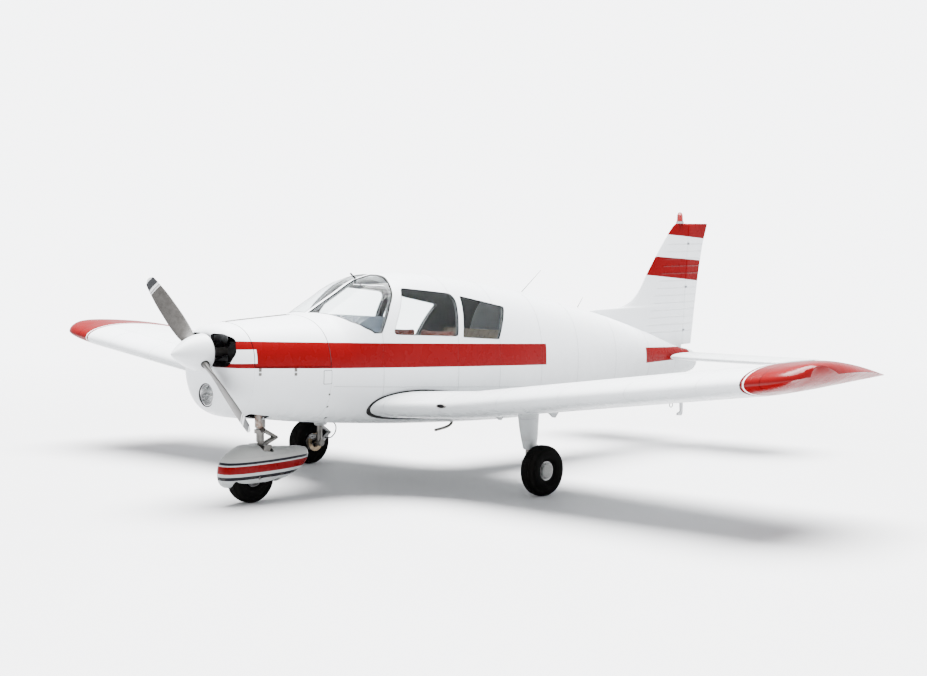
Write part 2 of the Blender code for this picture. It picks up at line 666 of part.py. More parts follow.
# tip rings: span, leading edge, trailing edge, upper and lower share of the thickness
TIP = [(TIP_JOINT + GAP, WING_LE, WING_LE + CHORD, 1.0, -1.0),
       (4.32, WING_LE + 0.004, WING_LE + CHORD, 0.99, -0.85),
       (4.43, WING_LE + 0.014, 2.520, 0.96, -0.60),
       (4.52, WING_LE + 0.045, 2.200, 0.90, -0.14),
       (4.575, WING_LE + 0.095, 1.930, 0.80, 0.26),
       (HALF_SPAN, WING_LE + 0.170, 1.700, 0.68, 0.60)]
PAD = (2.90, 1.95)          # tie-down pad under each wing
PITOT_X = 2.62
PIN = 0.004                 # radius of the hinge pins
FLAP = (0.66, 2.115)
AILERON = (2.145, 3.98)
for side, label in ((1, "left"), (-1, "right")):
    def flip(ring):
        return [(side * p[0], p[1], p[2]) for p in ring]
    wing = finish(loft([flip(wing_ring(x)) for x in (0.40, 0.57, KINK_X, TIP_JOINT)], True),
                  "wing_" + label, "white_paint")
    for x in (0.70, 1.345):
        low = wing_low(x, HINGE_Y - 0.12)
        bx0, bx1 = sorted((side * x, side * (x + 0.012)))
        add(wing, prism([(HINGE_Y - 0.26, low + 0.03), (HINGE_Y - 0.26, low + 0.004),
                         (HINGE_Y - 0.17, low - 0.062), (HINGE_Y - 0.145, low - 0.062),
                         (HINGE_Y - 0.075, low + 0.006), (HINGE_Y - 0.10, low + 0.03)], bx0, bx1,
                        "X"))
    for name, (x0, x1) in (("flap", FLAP), ("aileron", AILERON)):
        lean = hinge_lean(x0, x1)
        rings, bays, bores = [], [], []
        for x, bx in ((x0, x0 - SEAM), (x1, x1 + SEAM)):
            le, z, te, tz = wing_edge(x)
            mid = hinge_z(x, x0, x1)
            ring = surface_ring(x, HINGE_Y, mid, wing_half(x, HINGE_Y), te, tz)
            rings.append(squared(ring, mid, lean))
            mid = hinge_z(bx, x0, x1)
            ring = bay_ring(bx, HINGE_Y, mid, wing_half(x, HINGE_Y), te, tz,
                            0.012 if name == "flap" else 0.0)
            bays.append(squared(ring, mid, lean))
        surf = finish(loft([flip(r) for r in rings]), name + "_" + label, "white_paint")
        for a, b in ((x0 - SEAM - 0.008, x0 + 0.03), (x1 - 0.03, x1 + SEAM + 0.008)):
            ends = [(side * x, HINGE_Y, hinge_z(x, x0, x1)) for x in (a, b)]
            add(surf, rod(ends, PIN, 12))
            bores.append(rod([ends[0], ends[1]], PIN + 0.0003, 12))
        smooth(surf)
        pivot(surf, (side * x0, HINGE_Y, hinge_z(x0, x0, x1)))
        cut(wing, loft([flip(r) for r in bays]))
        cut(wing, *bores)
    pad_z = wing_low(PAD[0], PAD[1]) - 0.008
    add(wing, rod([(side * PAD[0], PAD[1], pad_z), (side * PAD[0], PAD[1], pad_z + 0.04)],
                  0.035, 20))
    if side == 1:
        low = wing_low(PITOT_X, 2.36)
        mast = []
        for z, y, chord in ((low + 0.03, 2.36, 0.060), (low - 0.08, 2.40, 0.050),
                            (low - 0.125, 2.405, 0.046)):
            mast.append([(PITOT_X + 0.008 * math.sin(2 * math.pi * k / 10),
                          y + chord / 2 * math.cos(2 * math.pi * k / 10), z) for k in range(10)])
        add(wing, loft(mast))
    cut(wing, body_loft(-GAP, 0.3, 3.6))
    smooth(wing)
    tip_rings = []
    for x, y0, y1, upper, under in TIP:
        ring = []
        joint = wing_edge(x)
        for p, (s, _) in zip(wing_ring(x), UP + UP[:0:-1]):
            y = y0 + (y1 - y0) * s
            h = THICK(s) * WING_T * CHORD
            above = p[2] >= wing_mid(x, p[1])
            m = wing_mid(x, y)
            if s in (0.0,):
                z = m + h * upper + 0.5 * (upper + under) * 0.02
            elif above:
                z = m + max(h * upper, 0.0025)
            else:
                z = min(m + h * under, m + max(h * upper, 0.0025) - 0.004)
            ring.append((x, y, z))
        tip_rings.append(ring)
    smooth(finish(loft([flip(r) for r in tip_rings]), "wing_tip_" + label, "red_paint"))

# Fin and rudder
FIN_LE = [(0.98, 4.30), (1.440, 4.31), (1.458, 4.40), (1.466, 4.60), (1.474, 4.80),
          (1.495, 4.93), (1.552, 5.075), (1.657, 5.195), (1.782, 5.287), (1.993, 5.460),
          (2.223, 5.665), (2.300, 5.745), (2.335, 5.800)]
RUDDER_TE = [(1.026, 6.063), (1.714, 6.181), (2.157, 6.285), (2.300, 6.345), (2.335, 6.352)]


def along(table, z):
    if z <= table[0][0]:
        return table[0][1]
    for a, b in zip(table, table[1:]):
        if z <= b[0]:
            return a[1] + (b[1] - a[1]) * (z - a[0]) / (b[0] - a[0])
    return table[-1][1]


def rudder_axis(z):
    return 5.883 + (z - 1.105) * 0.1004


def fin_half(z):
    return 0.043 - 0.012 * (z - 1.0)


def fin_ring(z, shrink=1.0):
    le, te = along(FIN_LE, z), along(RUDDER_TE, z)
    h0 = fin_half(z)
    ya = rudder_axis(z)
    right, left = [], []
    for i in range(13):
        s = 0.5 - 0.5 * math.cos(math.pi * i / 12)
        y = le + (te - le) * s
        if y <= ya:
            q = (y - le) / (ya - le)
            h = h0 * (1.28 * math.sqrt(q) - 0.28 * q) if q > 0 else 0.0
        else:
            h = max(h0 * (te - y) / (te - ya), 0.003)
        h *= shrink
        if i == 0:
            right.append((0.0, y, z))
        else:
            right.append((h, y, z))
            left.append((-h, y, z))
    return right + left[::-1]


fin = finish(loft([fin_ring(z) for z in (0.99, 1.20, 1.440, 1.458, 1.466, 1.474, 1.495, 1.552,
                                         1.600, 1.657, 1.782, 1.993, 2.223, 2.300)]
                  + [fin_ring(2.335, 0.35)]), "fin", "white_paint")


def up_ring(z, half, bay=False):
    te = along(RUDDER_TE, z)
    maker = bay_ring if bay else surface_ring
    ring = maker(0.0, rudder_axis(z), 0.0, half, te, 0.0)
    return [(p[2], p[1], z) for p in ring]


rud_zs = [1.045, 1.35, 1.714, 1.95, 2.157, 2.300]
rudder = finish(loft([up_ring(z, fin_half(z)) for z in rud_zs]
                     + [up_ring(2.333, fin_half(2.333) * 0.35)]), "rudder", "white_paint")
RUDDER_HINGES = (1.20, 1.66, 2.12)
for z in RUDDER_HINGES:
    y = rudder_axis(z)
    cut(rudder, box(-0.06, 0.06, y - 0.08, y + 0.022, z - 0.011, z + 0.011))
    add(rudder, rod([(0.0, rudder_axis(z - 0.02), z - 0.02), (0.0, rudder_axis(z + 0.02),
                                                              z + 0.02)], PIN, 12))
smooth(rudder)
pivot(rudder, (0.0, rudder_axis(1.5), 1.5))
cut(fin, loft([up_ring(0.80, fin_half(0.8), bay=True), up_ring(2.45, fin_half(2.45), bay=True)]))
for z in RUDDER_HINGES:
    y = rudder_axis(z)
    add(fin, box(-0.008, 0.008, y - 0.080, y + 0.010, z - 0.005, z + 0.005))
    cut(fin, rod([(0.0, rudder_axis(z - 0.03), z - 0.03), (0.0, rudder_axis(z + 0.03),
                                                           z + 0.03)], PIN + 0.0003, 12))
cut(fin, body_loft(-GAP, 3.9, TAIL_END + 0.05))
smooth(fin)

# Stabilator and tabs
STAB_TE = STAB_LE + STAB_CHORD
TAB_Y = STAB_TE - TAB_CHORD


def stab_ring(x, a=0.0, grow=1.0):
    top, bottom = [], []
    for s, _ in UP:
        q = a + (1.0 - a) * s
        y = STAB_LE + STAB_CHORD * q
        h = max(THICK(s) * 0.10 * STAB_CHORD, 0.0025 if s > 0.5 else 0.0) * grow
        if s == 0.0:
            top.append((x, y, STAB_Z))
        else:
            top.append((x, y, STAB_Z + h))
            bottom.append((x, y, STAB_Z - h))
    return top + bottom[::-1]


def stab_half(y):
    return THICK((y - STAB_LE) / STAB_CHORD) * 0.10 * STAB_CHORD


def stab_side(side):
    rows = [stab_ring(STAB_ROOT), stab_ring(STAB_HALF - 0.09), stab_ring(STAB_HALF - 0.03, 0.05,
            0.75), stab_ring(STAB_HALF, 0.18, 0.30)]
    return loft([[(side * p[0], p[1], p[2]) for p in r] for r in rows])


stab = finish(prism(circle(0.0255, 20, (STAB_HINGE, STAB_Z)), -STAB_ROOT - 0.05,
                    STAB_ROOT + 0.05, "X"), "stabilator", "white_paint")
add(stab, stab_side(1), stab_side(-1))
TAB = (0.30, 1.28)
for side, label in ((1, "left"), (-1, "right")):
    rings, bays = [], []
    for x, bx in ((TAB[0], TAB[0] - SEAM), (TAB[1], TAB[1] + SEAM)):
        rings.append([(side * p[0], p[1], p[2]) for p in
                      surface_ring(x, TAB_Y, STAB_Z, stab_half(TAB_Y), STAB_TE, STAB_Z)])
        bays.append([(side * p[0], p[1], p[2]) for p in
                     bay_ring(bx, TAB_Y, STAB_Z, stab_half(TAB_Y), STAB_TE, STAB_Z)])
    tab = finish(loft(rings), "tab_" + label, "white_paint")
    cut(stab, loft(bays))
    for a, b in ((TAB[0] - SEAM - 0.010, TAB[0] + 0.02), (TAB[1] - 0.02, TAB[1] + SEAM + 0.010)):
        ends = [(side * a, TAB_Y, STAB_Z), (side * b, TAB_Y, STAB_Z)]
        add(tab, rod(ends, PIN, 12))
        cut(stab, rod(ends, PIN + 0.0003, 12))
    smooth(tab)
    pivot(tab, (side * TAB[0], TAB_Y, STAB_Z))
smooth(stab)
pivot(stab, (0.0, STAB_HINGE, STAB_Z))

# Wheels


def tyre_profile(r, w, bore):
    h = w / 2
    return [(-h * 0.62, bore), (-h * 0.80, bore + 0.012), (-h * 0.97, bore + 0.04),
            (-h, r - 0.055), (-h * 0.90, r - 0.022), (-h * 0.62, r - 0.005), (-h * 0.25, r),
            (h * 0.25, r), (h * 0.62, r - 0.005), (h * 0.90, r - 0.022), (h, r - 0.055),
            (h * 0.97, bore + 0.04), (h * 0.80, bore + 0.012), (h * 0.62, bore),
            (-h * 0.62, bore)]


RIM = 0.082
for name, x, y in (("left", TRACK, AXLE_Y), ("right", -TRACK, AXLE_Y), ("nose", 0.0, 0.0)):
    c = (x, y, TYRE_R)
    s = -1 if x < 0 else 1
    tyre = smooth(finish(turned(tyre_profile(TYRE_R, TYRE_W, RIM), c, 28), "tyre_" + name,
                         "tyre_rubber"))
    if name == "nose":
        prof = [(-0.055, 0.0165), (-0.055, 0.045), (-0.045, 0.072), (-0.045, RIM - GAP),
                (0.045, RIM - GAP), (0.045, 0.072), (0.055, 0.045), (0.055, 0.0165),
                (-0.055, 0.0165)]
    else:
        prof = [(-s * 0.100, 0.0185), (-s * 0.100, 0.088), (-s * 0.090, 0.088),
                (-s * 0.088, 0.050), (-s * 0.046, 0.060), (-s * 0.046, RIM - GAP),
                (s * 0.046, RIM - GAP), (s * 0.050, 0.070), (s * 0.060, 0.045),
                (s * 0.060, 0.0185), (-s * 0.100, 0.0185)]
    wheel = smooth(finish(turned(prof, c, 28), "wheel_" + name, "alloy"))
    pivot(tyre, c)
    pivot(wheel, c)

# Main legs
LEG_X = 1.365


def leg_ring(side, x, y, z, chord, thick):
    ring = []
    for k in range(16):
        t = 2 * math.pi * k / 16
        u = math.cos(t)
        ring.append((side * (x + thick / 2 * math.sin(t) * (1.0 - 0.25 * u)),
                     y + chord / 2 * u, z))
    return ring


for side, label in ((1, "left"), (-1, "right")):
    top = wing_low(LEG_X - 0.07, AXLE_Y) + 0.03
    fairing = finish(loft([leg_ring(side, LEG_X, AXLE_Y + 0.020, 0.385, 0.135, 0.075),
                           leg_ring(side, LEG_X, AXLE_Y + 0.020, 0.40, 0.150, 0.085),
                           leg_ring(side, LEG_X, AXLE_Y + 0.008, 0.62, 0.225, 0.115),
                           leg_ring(side, LEG_X, AXLE_Y + 0.005, top + 0.03, 0.245, 0.12)]),
                     "leg_fairing_" + label, "white_paint")
    cut(fairing, loft([[(side * p[0], p[1], p[2] - GAP) for p in wing_ring(x)]
                       for x in (0.57, KINK_X, TIP_JOINT)], True))
    cut(fairing, rod([(side * LEG_X, AXLE_Y, 0.30), (side * LEG_X, AXLE_Y, 0.55)],
                     0.0282, 20))
    smooth(fairing)
    leg = finish(rod([(side * LEG_X, AXLE_Y, 0.20), (side * LEG_X, AXLE_Y, 0.545)],
                     0.0278, 20), "main_leg_" + label, "steel")
    add(leg, rod([(side * (LEG_X - 0.035), AXLE_Y, TYRE_R),
                  (side * (TRACK + 0.060), AXLE_Y, TYRE_R)], 0.0178, 20))
    cx0, cx1 = sorted((side * (TRACK - 0.116), side * (LEG_X + 0.01)))
    add(leg, box(cx0, cx1, AXLE_Y - 0.10, AXLE_Y + 0.01, 0.262, 0.300))
    smooth(leg)

# Nose gear
noseleg = finish(rod([(0.0, STEER_Y, 0.50), (0.0, STEER_Y, 0.66)], 0.034, 20), "nose_leg",
                 "steel")
add(noseleg, rod([(0.0, STEER_Y, 0.62), (0.0, STEER_Y, 0.80)], 0.045, 20))
add(noseleg, rod([(0.0, STEER_Y, 0.78), (0.12, FIREWALL + 0.03, 0.80)], 0.018, 12),
    rod([(0.0, STEER_Y, 0.78), (-0.12, FIREWALL + 0.03, 0.80)], 0.018, 12))
cut(noseleg, rod([(0.0, STEER_Y, 0.3), (0.0, STEER_Y, 0.60)], 0.0262, 20),
    box(-0.5, 0.5, FIREWALL, 0.7, 0.5, 1.0))
smooth(noseleg)
cut(lower, prism(rounded([(-0.11, 0.04), (0.11, 0.04), (0.11, 0.30), (-0.11, 0.30)], 0.05),
                 0.5, 0.9, "Z"))

fork = finish(rod([(0.0, STEER_Y, 0.44), (0.0, STEER_Y, 0.595)], 0.0255, 20), "nose_fork",
              "steel")
add(fork, box(-0.105, 0.105, STEER_Y - 0.04, STEER_Y + 0.04, 0.452, 0.478))
for side in (1, -1):
    add(fork, prism([(STEER_Y - 0.038, 0.470), (STEER_Y + 0.038, 0.470), (0.028, TYRE_R - 0.02),
                     (-0.028, TYRE_R - 0.02)], *sorted((side * 0.093, side * 0.104)), "X"))
add(fork, rod([(-0.12, 0.0, TYRE_R), (0.12, 0.0, TYRE_R)], 0.016, 20))
add(fork, turned([(0.572, 0.0348), (0.572, 0.050), (0.604, 0.050), (0.604, 0.0348),
                  (0.572, 0.0348)], (0.0, STEER_Y, 0.0), 20, "Z"))
for x in (-0.022, 0.022):
    add(fork, prism([(STEER_Y + 0.030, 0.462), (STEER_Y + 0.160, 0.512), (STEER_Y + 0.172, 0.524),
                     (STEER_Y + 0.160, 0.536), (STEER_Y + 0.020, 0.480)], x - 0.007, x + 0.007,
                    "X"))
    add(fork, prism([(STEER_Y + 0.038, 0.578), (STEER_Y + 0.150, 0.522), (STEER_Y + 0.166, 0.518),
                     (STEER_Y + 0.170, 0.534), (STEER_Y + 0.046, 0.602), (STEER_Y + 0.036, 0.600)],
                    x - 0.007, x + 0.007, "X"))
add(fork, rod([(-0.034, STEER_Y + 0.160, 0.525), (0.034, STEER_Y + 0.160, 0.525)], 0.009, 12))
smooth(fork)
pivot(fork, (0.0, STEER_Y, 0.50))

FAIR = [(-0.312, 0.250, 0.030, 0.035), (-0.300, 0.255, 0.062, 0.078),
        (-0.266, 0.268, 0.096, 0.118), (-0.190, 0.290, 0.128, 0.152),
        (-0.060, 0.312, 0.146, 0.178), (0.080, 0.308, 0.148, 0.172),
        (0.240, 0.304, 0.138, 0.150), (0.400, 0.318, 0.110, 0.122), (0.520, 0.338, 0.078, 0.092),
        (0.590, 0.354, 0.046, 0.062), (0.615, 0.360, 0.022, 0.030)]


def fair_ring(row, inset=0.0):
    y, zc, w, h = row
    ring = []
    for k in range(18):
        t = 2 * math.pi * k / 18
        c, s = math.cos(t), math.sin(t)
        ring.append(((w - inset) * math.copysign(abs(c) ** 0.85, c), y,
                     zc + (h - inset) * math.copysign(abs(s) ** 0.85, s)))
    return ring


fair = finish(loft([fair_ring(r) for r in FAIR]), "nose_fairing", "white_paint")
cut(fair, loft([fair_ring(r, 0.008) for r in FAIR[2:-2]]))
cut(fair, prism(rounded([(-0.105, -0.245), (0.105, -0.245), (0.105, 0.245), (-0.105, 0.245)],
                        0.03), 0.02, 0.205, "Z"))
cut(fair, rod([(-0.3, 0.0, TYRE_R), (0.3, 0.0, TYRE_R)], 0.0166, 20))
cut(fair, prism(rounded([(-0.115, STEER_Y - 0.06), (0.115, STEER_Y - 0.06),
                         (0.115, STEER_Y + 0.06), (-0.115, STEER_Y + 0.06)], 0.02),
                0.35, 0.7, "Z"))
smooth(fair)
pivot(fair, (0.0, STEER_Y, 0.50))

# Lights and small parts
beacon = finish(turned([(0.0, 0.0), (0.0, 0.042), (0.02, 0.042), (0.022, 0.034), (0.09, 0.030),
                        (0.114, 0.018), (0.120, 0.0)], (0.0, 5.872, 2.3354), 16, "Z"),
                "beacon", "lamp_red")
smooth(beacon)
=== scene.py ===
import math

import bmesh
import bpy
from mathutils import Matrix, Vector


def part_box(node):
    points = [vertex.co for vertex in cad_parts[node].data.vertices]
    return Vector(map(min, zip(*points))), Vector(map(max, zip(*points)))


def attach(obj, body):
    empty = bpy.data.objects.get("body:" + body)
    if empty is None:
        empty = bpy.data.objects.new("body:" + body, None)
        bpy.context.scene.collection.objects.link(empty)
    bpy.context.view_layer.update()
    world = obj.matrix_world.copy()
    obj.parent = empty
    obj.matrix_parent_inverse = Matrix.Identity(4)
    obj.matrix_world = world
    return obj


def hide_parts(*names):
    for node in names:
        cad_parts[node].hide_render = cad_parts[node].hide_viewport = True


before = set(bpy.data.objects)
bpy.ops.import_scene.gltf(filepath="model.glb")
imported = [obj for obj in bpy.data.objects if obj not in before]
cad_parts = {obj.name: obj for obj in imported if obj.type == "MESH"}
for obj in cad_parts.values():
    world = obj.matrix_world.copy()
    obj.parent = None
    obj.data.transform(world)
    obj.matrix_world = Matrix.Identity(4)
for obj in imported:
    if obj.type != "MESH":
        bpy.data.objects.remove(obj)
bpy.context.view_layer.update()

# The fuselage is aluminium sheet riveted over frames, with two moulded cowl doors and a
# moulded nose bowl ahead of the firewall. Its form is one loft: every panel, window and
# door below is cut from it. Lengths along the body are measured from the nose axle.
axle_low, axle_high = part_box("tyre_nose")
NOSE_AXLE = (axle_low.y + axle_high.y) / 2
BODY_FRAMES = [
    # station, half width, bottom, widest, top, roundness below, roundness above
    (-0.450, 0.255, 0.870, 1.20, 1.430, 2.4, 2.4),
    (-0.430, 0.305, 0.822, 1.20, 1.462, 2.4, 2.4),
    (-0.375, 0.358, 0.775, 1.20, 1.496, 2.4, 2.4),
    (-0.270, 0.405, 0.738, 1.19, 1.518, 2.5, 2.4),
    (0.100, 0.480, 0.690, 1.15, 1.540, 2.6, 2.5),
    (0.435, 0.540, 0.648, 1.12, 1.556, 2.8, 2.5),
    (0.625, 0.555, 0.628, 1.11, 1.564, 2.9, 2.5),
    (0.900, 0.570, 0.602, 1.10, 1.704, 3.0, 2.8),
    (1.217, 0.578, 0.574, 1.09, 1.850, 3.0, 3.0),
    (1.550, 0.578, 0.548, 1.09, 1.896, 3.0, 2.9),
    (2.000, 0.572, 0.520, 1.09, 1.874, 3.0, 2.7),
    (2.600, 0.548, 0.490, 1.08, 1.795, 2.9, 2.5),
    (3.100, 0.500, 0.476, 1.06, 1.710, 2.8, 2.4),
    (3.700, 0.420, 0.508, 1.03, 1.585, 2.6, 2.3),
    (4.500, 0.305, 0.586, 0.99, 1.412, 2.4, 2.2),
    (5.250, 0.197, 0.666, 0.94, 1.205, 2.2, 2.0),
    (5.850, 0.105, 0.726, 0.885, 1.018, 2.0, 2.0),
    (6.060, 0.070, 0.752, 0.875, 0.976, 2.0, 2.0),
    (6.120, 0.045, 0.785, 0.870, 0.950, 2.0, 2.0)]
BOWL_FRONT = -0.450
BOWL_SEAM = -0.270
FIREWALL = 0.435
WINDSHIELD_FOOT = 0.625
CABIN_END = 3.100
TAIL_END = 6.120
SEAM = 0.006
BUTT = 0.0004
SIDES = ((1, "left"), (-1, "right"))


def slope_at(rows, i, k):
    """Slope of one measure at a row, flat where the rows turn, so nothing overshoots."""
    if i in (0, len(rows) - 1):
        a, b = (rows[0], rows[1]) if i == 0 else (rows[-2], rows[-1])
        return (b[k] - a[k]) / (b[0] - a[0])
    before = (rows[i][k] - rows[i - 1][k]) / (rows[i][0] - rows[i - 1][0])
    after = (rows[i + 1][k] - rows[i][k]) / (rows[i + 1][0] - rows[i][0])
    return 0.0 if before * after <= 0 else 2 * before * after / (before + after)


def faired(rows, at):
    """All measures of a table at a station, on smooth curves through its rows."""
    at = min(max(at, rows[0][0]), rows[-1][0])
    i = max(j for j in range(len(rows) - 1) if rows[j][0] <= at)
    span = rows[i + 1][0] - rows[i][0]
    t = (at - rows[i][0]) / span
    out = []
    for k in range(1, len(rows[0])):
        ma, mb = slope_at(rows, i, k) * span, slope_at(rows, i + 1, k) * span
        out.append(rows[i][k] * (2 * t ** 3 - 3 * t * t + 1) + ma * (t ** 3 - 2 * t * t + t)
                   + rows[i + 1][k] * (3 * t * t - 2 * t ** 3) + mb * (t ** 3 - t * t))
    return out


def frame_at(y):
    """Measures of the body at a station, with the crease at the windshield's foot kept."""
    split = [r[0] for r in BODY_FRAMES].index(WINDSHIELD_FOOT)
    return faired(BODY_FRAMES[:split + 1] if y <= WINDSHIELD_FOOT else BODY_FRAMES[split:], y)


def turns(count, offset=0.0):
    """Cosine and sine of equal steps round a full turn."""
    steps = [2 * math.pi * (k + offset) / count for k in range(count)]
    return [(math.cos(t), math.sin(t)) for t in steps]


def body_ring(y, inset, around):
    w, zb, zm, zt, nl, nu = frame_at(y)
    w, zb, zt = w - inset, zb + inset, zt - inset
    ring = []
    for c, s in turns(around):
        n, h = (nu, zt - zm) if s >= 0 else (nl, zm - zb)
        ring.append((w * math.copysign(abs(c) ** (2.0 / n), c), y + NOSE_AXLE,
                     zm + h * math.copysign(abs(s) ** (2.0 / n), s)))
    return ring


def body_level(p):
    """1 on the outside of the body, less inside it."""
    w, zb, zm, zt, nl, nu = frame_at(p[1] - NOSE_AXLE)
    n, h = (nu, zt - zm) if p[2] >= zm else (nl, zm - zb)
    return ((abs(p[0]) / w) ** n + (abs(p[2] - zm) / h) ** n) ** (1.0 / n)


def solid(name, verts, faces):
    mesh = bpy.data.meshes.new(name)
    mesh.from_pydata([tuple(v) for v in verts], [], faces)
    bm = bmesh.new()
    bm.from_mesh(mesh)
    bmesh.ops.recalc_face_normals(bm, faces=bm.faces)
    bm.to_mesh(mesh)
    bm.free()
    obj = bpy.data.objects.new(name, mesh)
    bpy.context.collection.objects.link(obj)
    return obj


def lofted(name, rings):
    """Closed solid through rings of equal counts, closed at both ends."""
    n = len(rings[0])
    faces = [(i * n + k, i * n + (k + 1) % n, (i + 1) * n + (k + 1) % n, (i + 1) * n + k)
             for i in range(len(rings) - 1) for k in range(n)]
    last = (len(rings) - 1) * n
    faces += [tuple(range(n)), tuple(range(last, last + n))]
    return solid(name, [p for ring in rings for p in ring], faces)


def body_solid(name, inset, y0, y1, around=96, step=0.045):
    count = max(2, math.ceil((y1 - y0) / step))
    ys = [y0 + (y1 - y0) * i / count for i in range(count + 1)]
    if y0 < WINDSHIELD_FOOT - 0.01 < y1 - 0.02:
        ys = [y for y in ys if abs(y - WINDSHIELD_FOOT) > 0.012] + [WINDSHIELD_FOOT]
    return lofted(name, [body_ring(y, inset, around) for y in sorted(ys)])


def extruded(name, outline, low, high, axis="X"):
    """Flat outline pushed through along one axis. On X and Z, the outline's Y is a station."""
    place = {"X": lambda a, b, c: (c, a + NOSE_AXLE, b),
             "Y": lambda a, b, c: (a, c + NOSE_AXLE, b),
             "Z": lambda a, b, c: (a, b + NOSE_AXLE, c)}[axis]
    return lofted(name, [[place(a, b, c) for a, b in outline] for c in (low, high)])


def oblong(a0, a1, b0, b1):
    return [(a0, b0), (a1, b0), (a1, b1), (a0, b1)]


def block(name, x0, x1, y0, y1, z0, z1):
    return extruded(name, oblong(x0, x1, y0, y1), z0, z1, "Z")


def soft_corners(points, radius, steps=6):
    """Outline whose corners are rounded off over about the radius."""
    out = []
    for i, corner in enumerate(points):
        p = Vector(corner)
        before = Vector(points[i - 1]) - p
        after = Vector(points[(i + 1) % len(points)]) - p
        r = radius[i] if isinstance(radius, (list, tuple)) else radius
        reach = r / math.tan(before.angle(after) / 2)
        a = p + before.normalized() * min(reach, 0.48 * before.length)
        b = p + after.normalized() * min(reach, 0.48 * after.length)
        for k in range(steps + 1):
            t = k / steps
            q = a * (1 - t) ** 2 + p * 2 * t * (1 - t) + b * t * t
            out.append((q.x, q.y))
    return out


def grown(points, amount):
    """Outline pushed outward (positive) or inward by a distance."""
    n = len(points)
    area = sum(points[i][0] * points[(i + 1) % n][1] - points[(i + 1) % n][0] * points[i][1]
               for i in range(n))
    sign = 1.0 if area > 0 else -1.0
    out = []
    for i in range(n):
        p = Vector(points[i])
        a = (p - Vector(points[i - 1])).normalized()
        b = (Vector(points[(i + 1) % n]) - p).normalized()
        out_a, out_b = Vector((a.y, -a.x)) * sign, Vector((b.y, -b.x)) * sign
        middle = (out_a + out_b).normalized()
        q = p + middle * (amount / max(middle.dot(out_a), 0.3))
        out.append((q.x, q.y))
    return out


def pick(*objects):
    bpy.ops.object.select_all(action="DESELECT")
    for obj in objects:
        obj.select_set(True)
    bpy.context.view_layer.objects.active = objects[0]


def combine(obj, other, operation="DIFFERENCE"):
    """Cut, join or intersect with another solid, which is used up."""
    pick(obj)
    mod = obj.modifiers.new("combine", "BOOLEAN")
    mod.operation = operation
    mod.solver = "MANIFOLD"
    mod.object = other
    bpy.ops.object.modifier_apply(modifier=mod.name)
    bpy.data.objects.remove(other)
    return obj


def finish_piece(obj, *finishes, body="airframe", stands_for=(), angle=30):
    """Shading, finishes and place of a finished piece."""
    pick(obj)
    bpy.ops.object.shade_smooth_by_angle(angle=math.radians(angle))
    for i, mat in enumerate(finishes):
        if i < len(obj.data.materials):
            obj.data.materials[i] = mat
        else:
            obj.data.materials.append(mat)
    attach(obj, body)
    if stands_for:
        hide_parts(*stands_for)


class Value:
    """One number over the surface, reckoned in a finish's nodes with the usual signs."""

    def __init__(self, finish, socket):
        self.finish, self.socket = finish, socket

    def __add__(self, other):
        return self.finish.math("ADD", self, other)

    def __sub__(self, other):
        return self.finish.math("SUBTRACT", self, other)

    def __rsub__(self, other):
        return self.finish.math("SUBTRACT", other, self)

    def __mul__(self, other):
        return self.finish.math("MULTIPLY", self, other)

    def __truediv__(self, other):
        return self.finish.math("DIVIDE", self, other)

    def __abs__(self):
        return self.finish.math("ABSOLUTE", self)


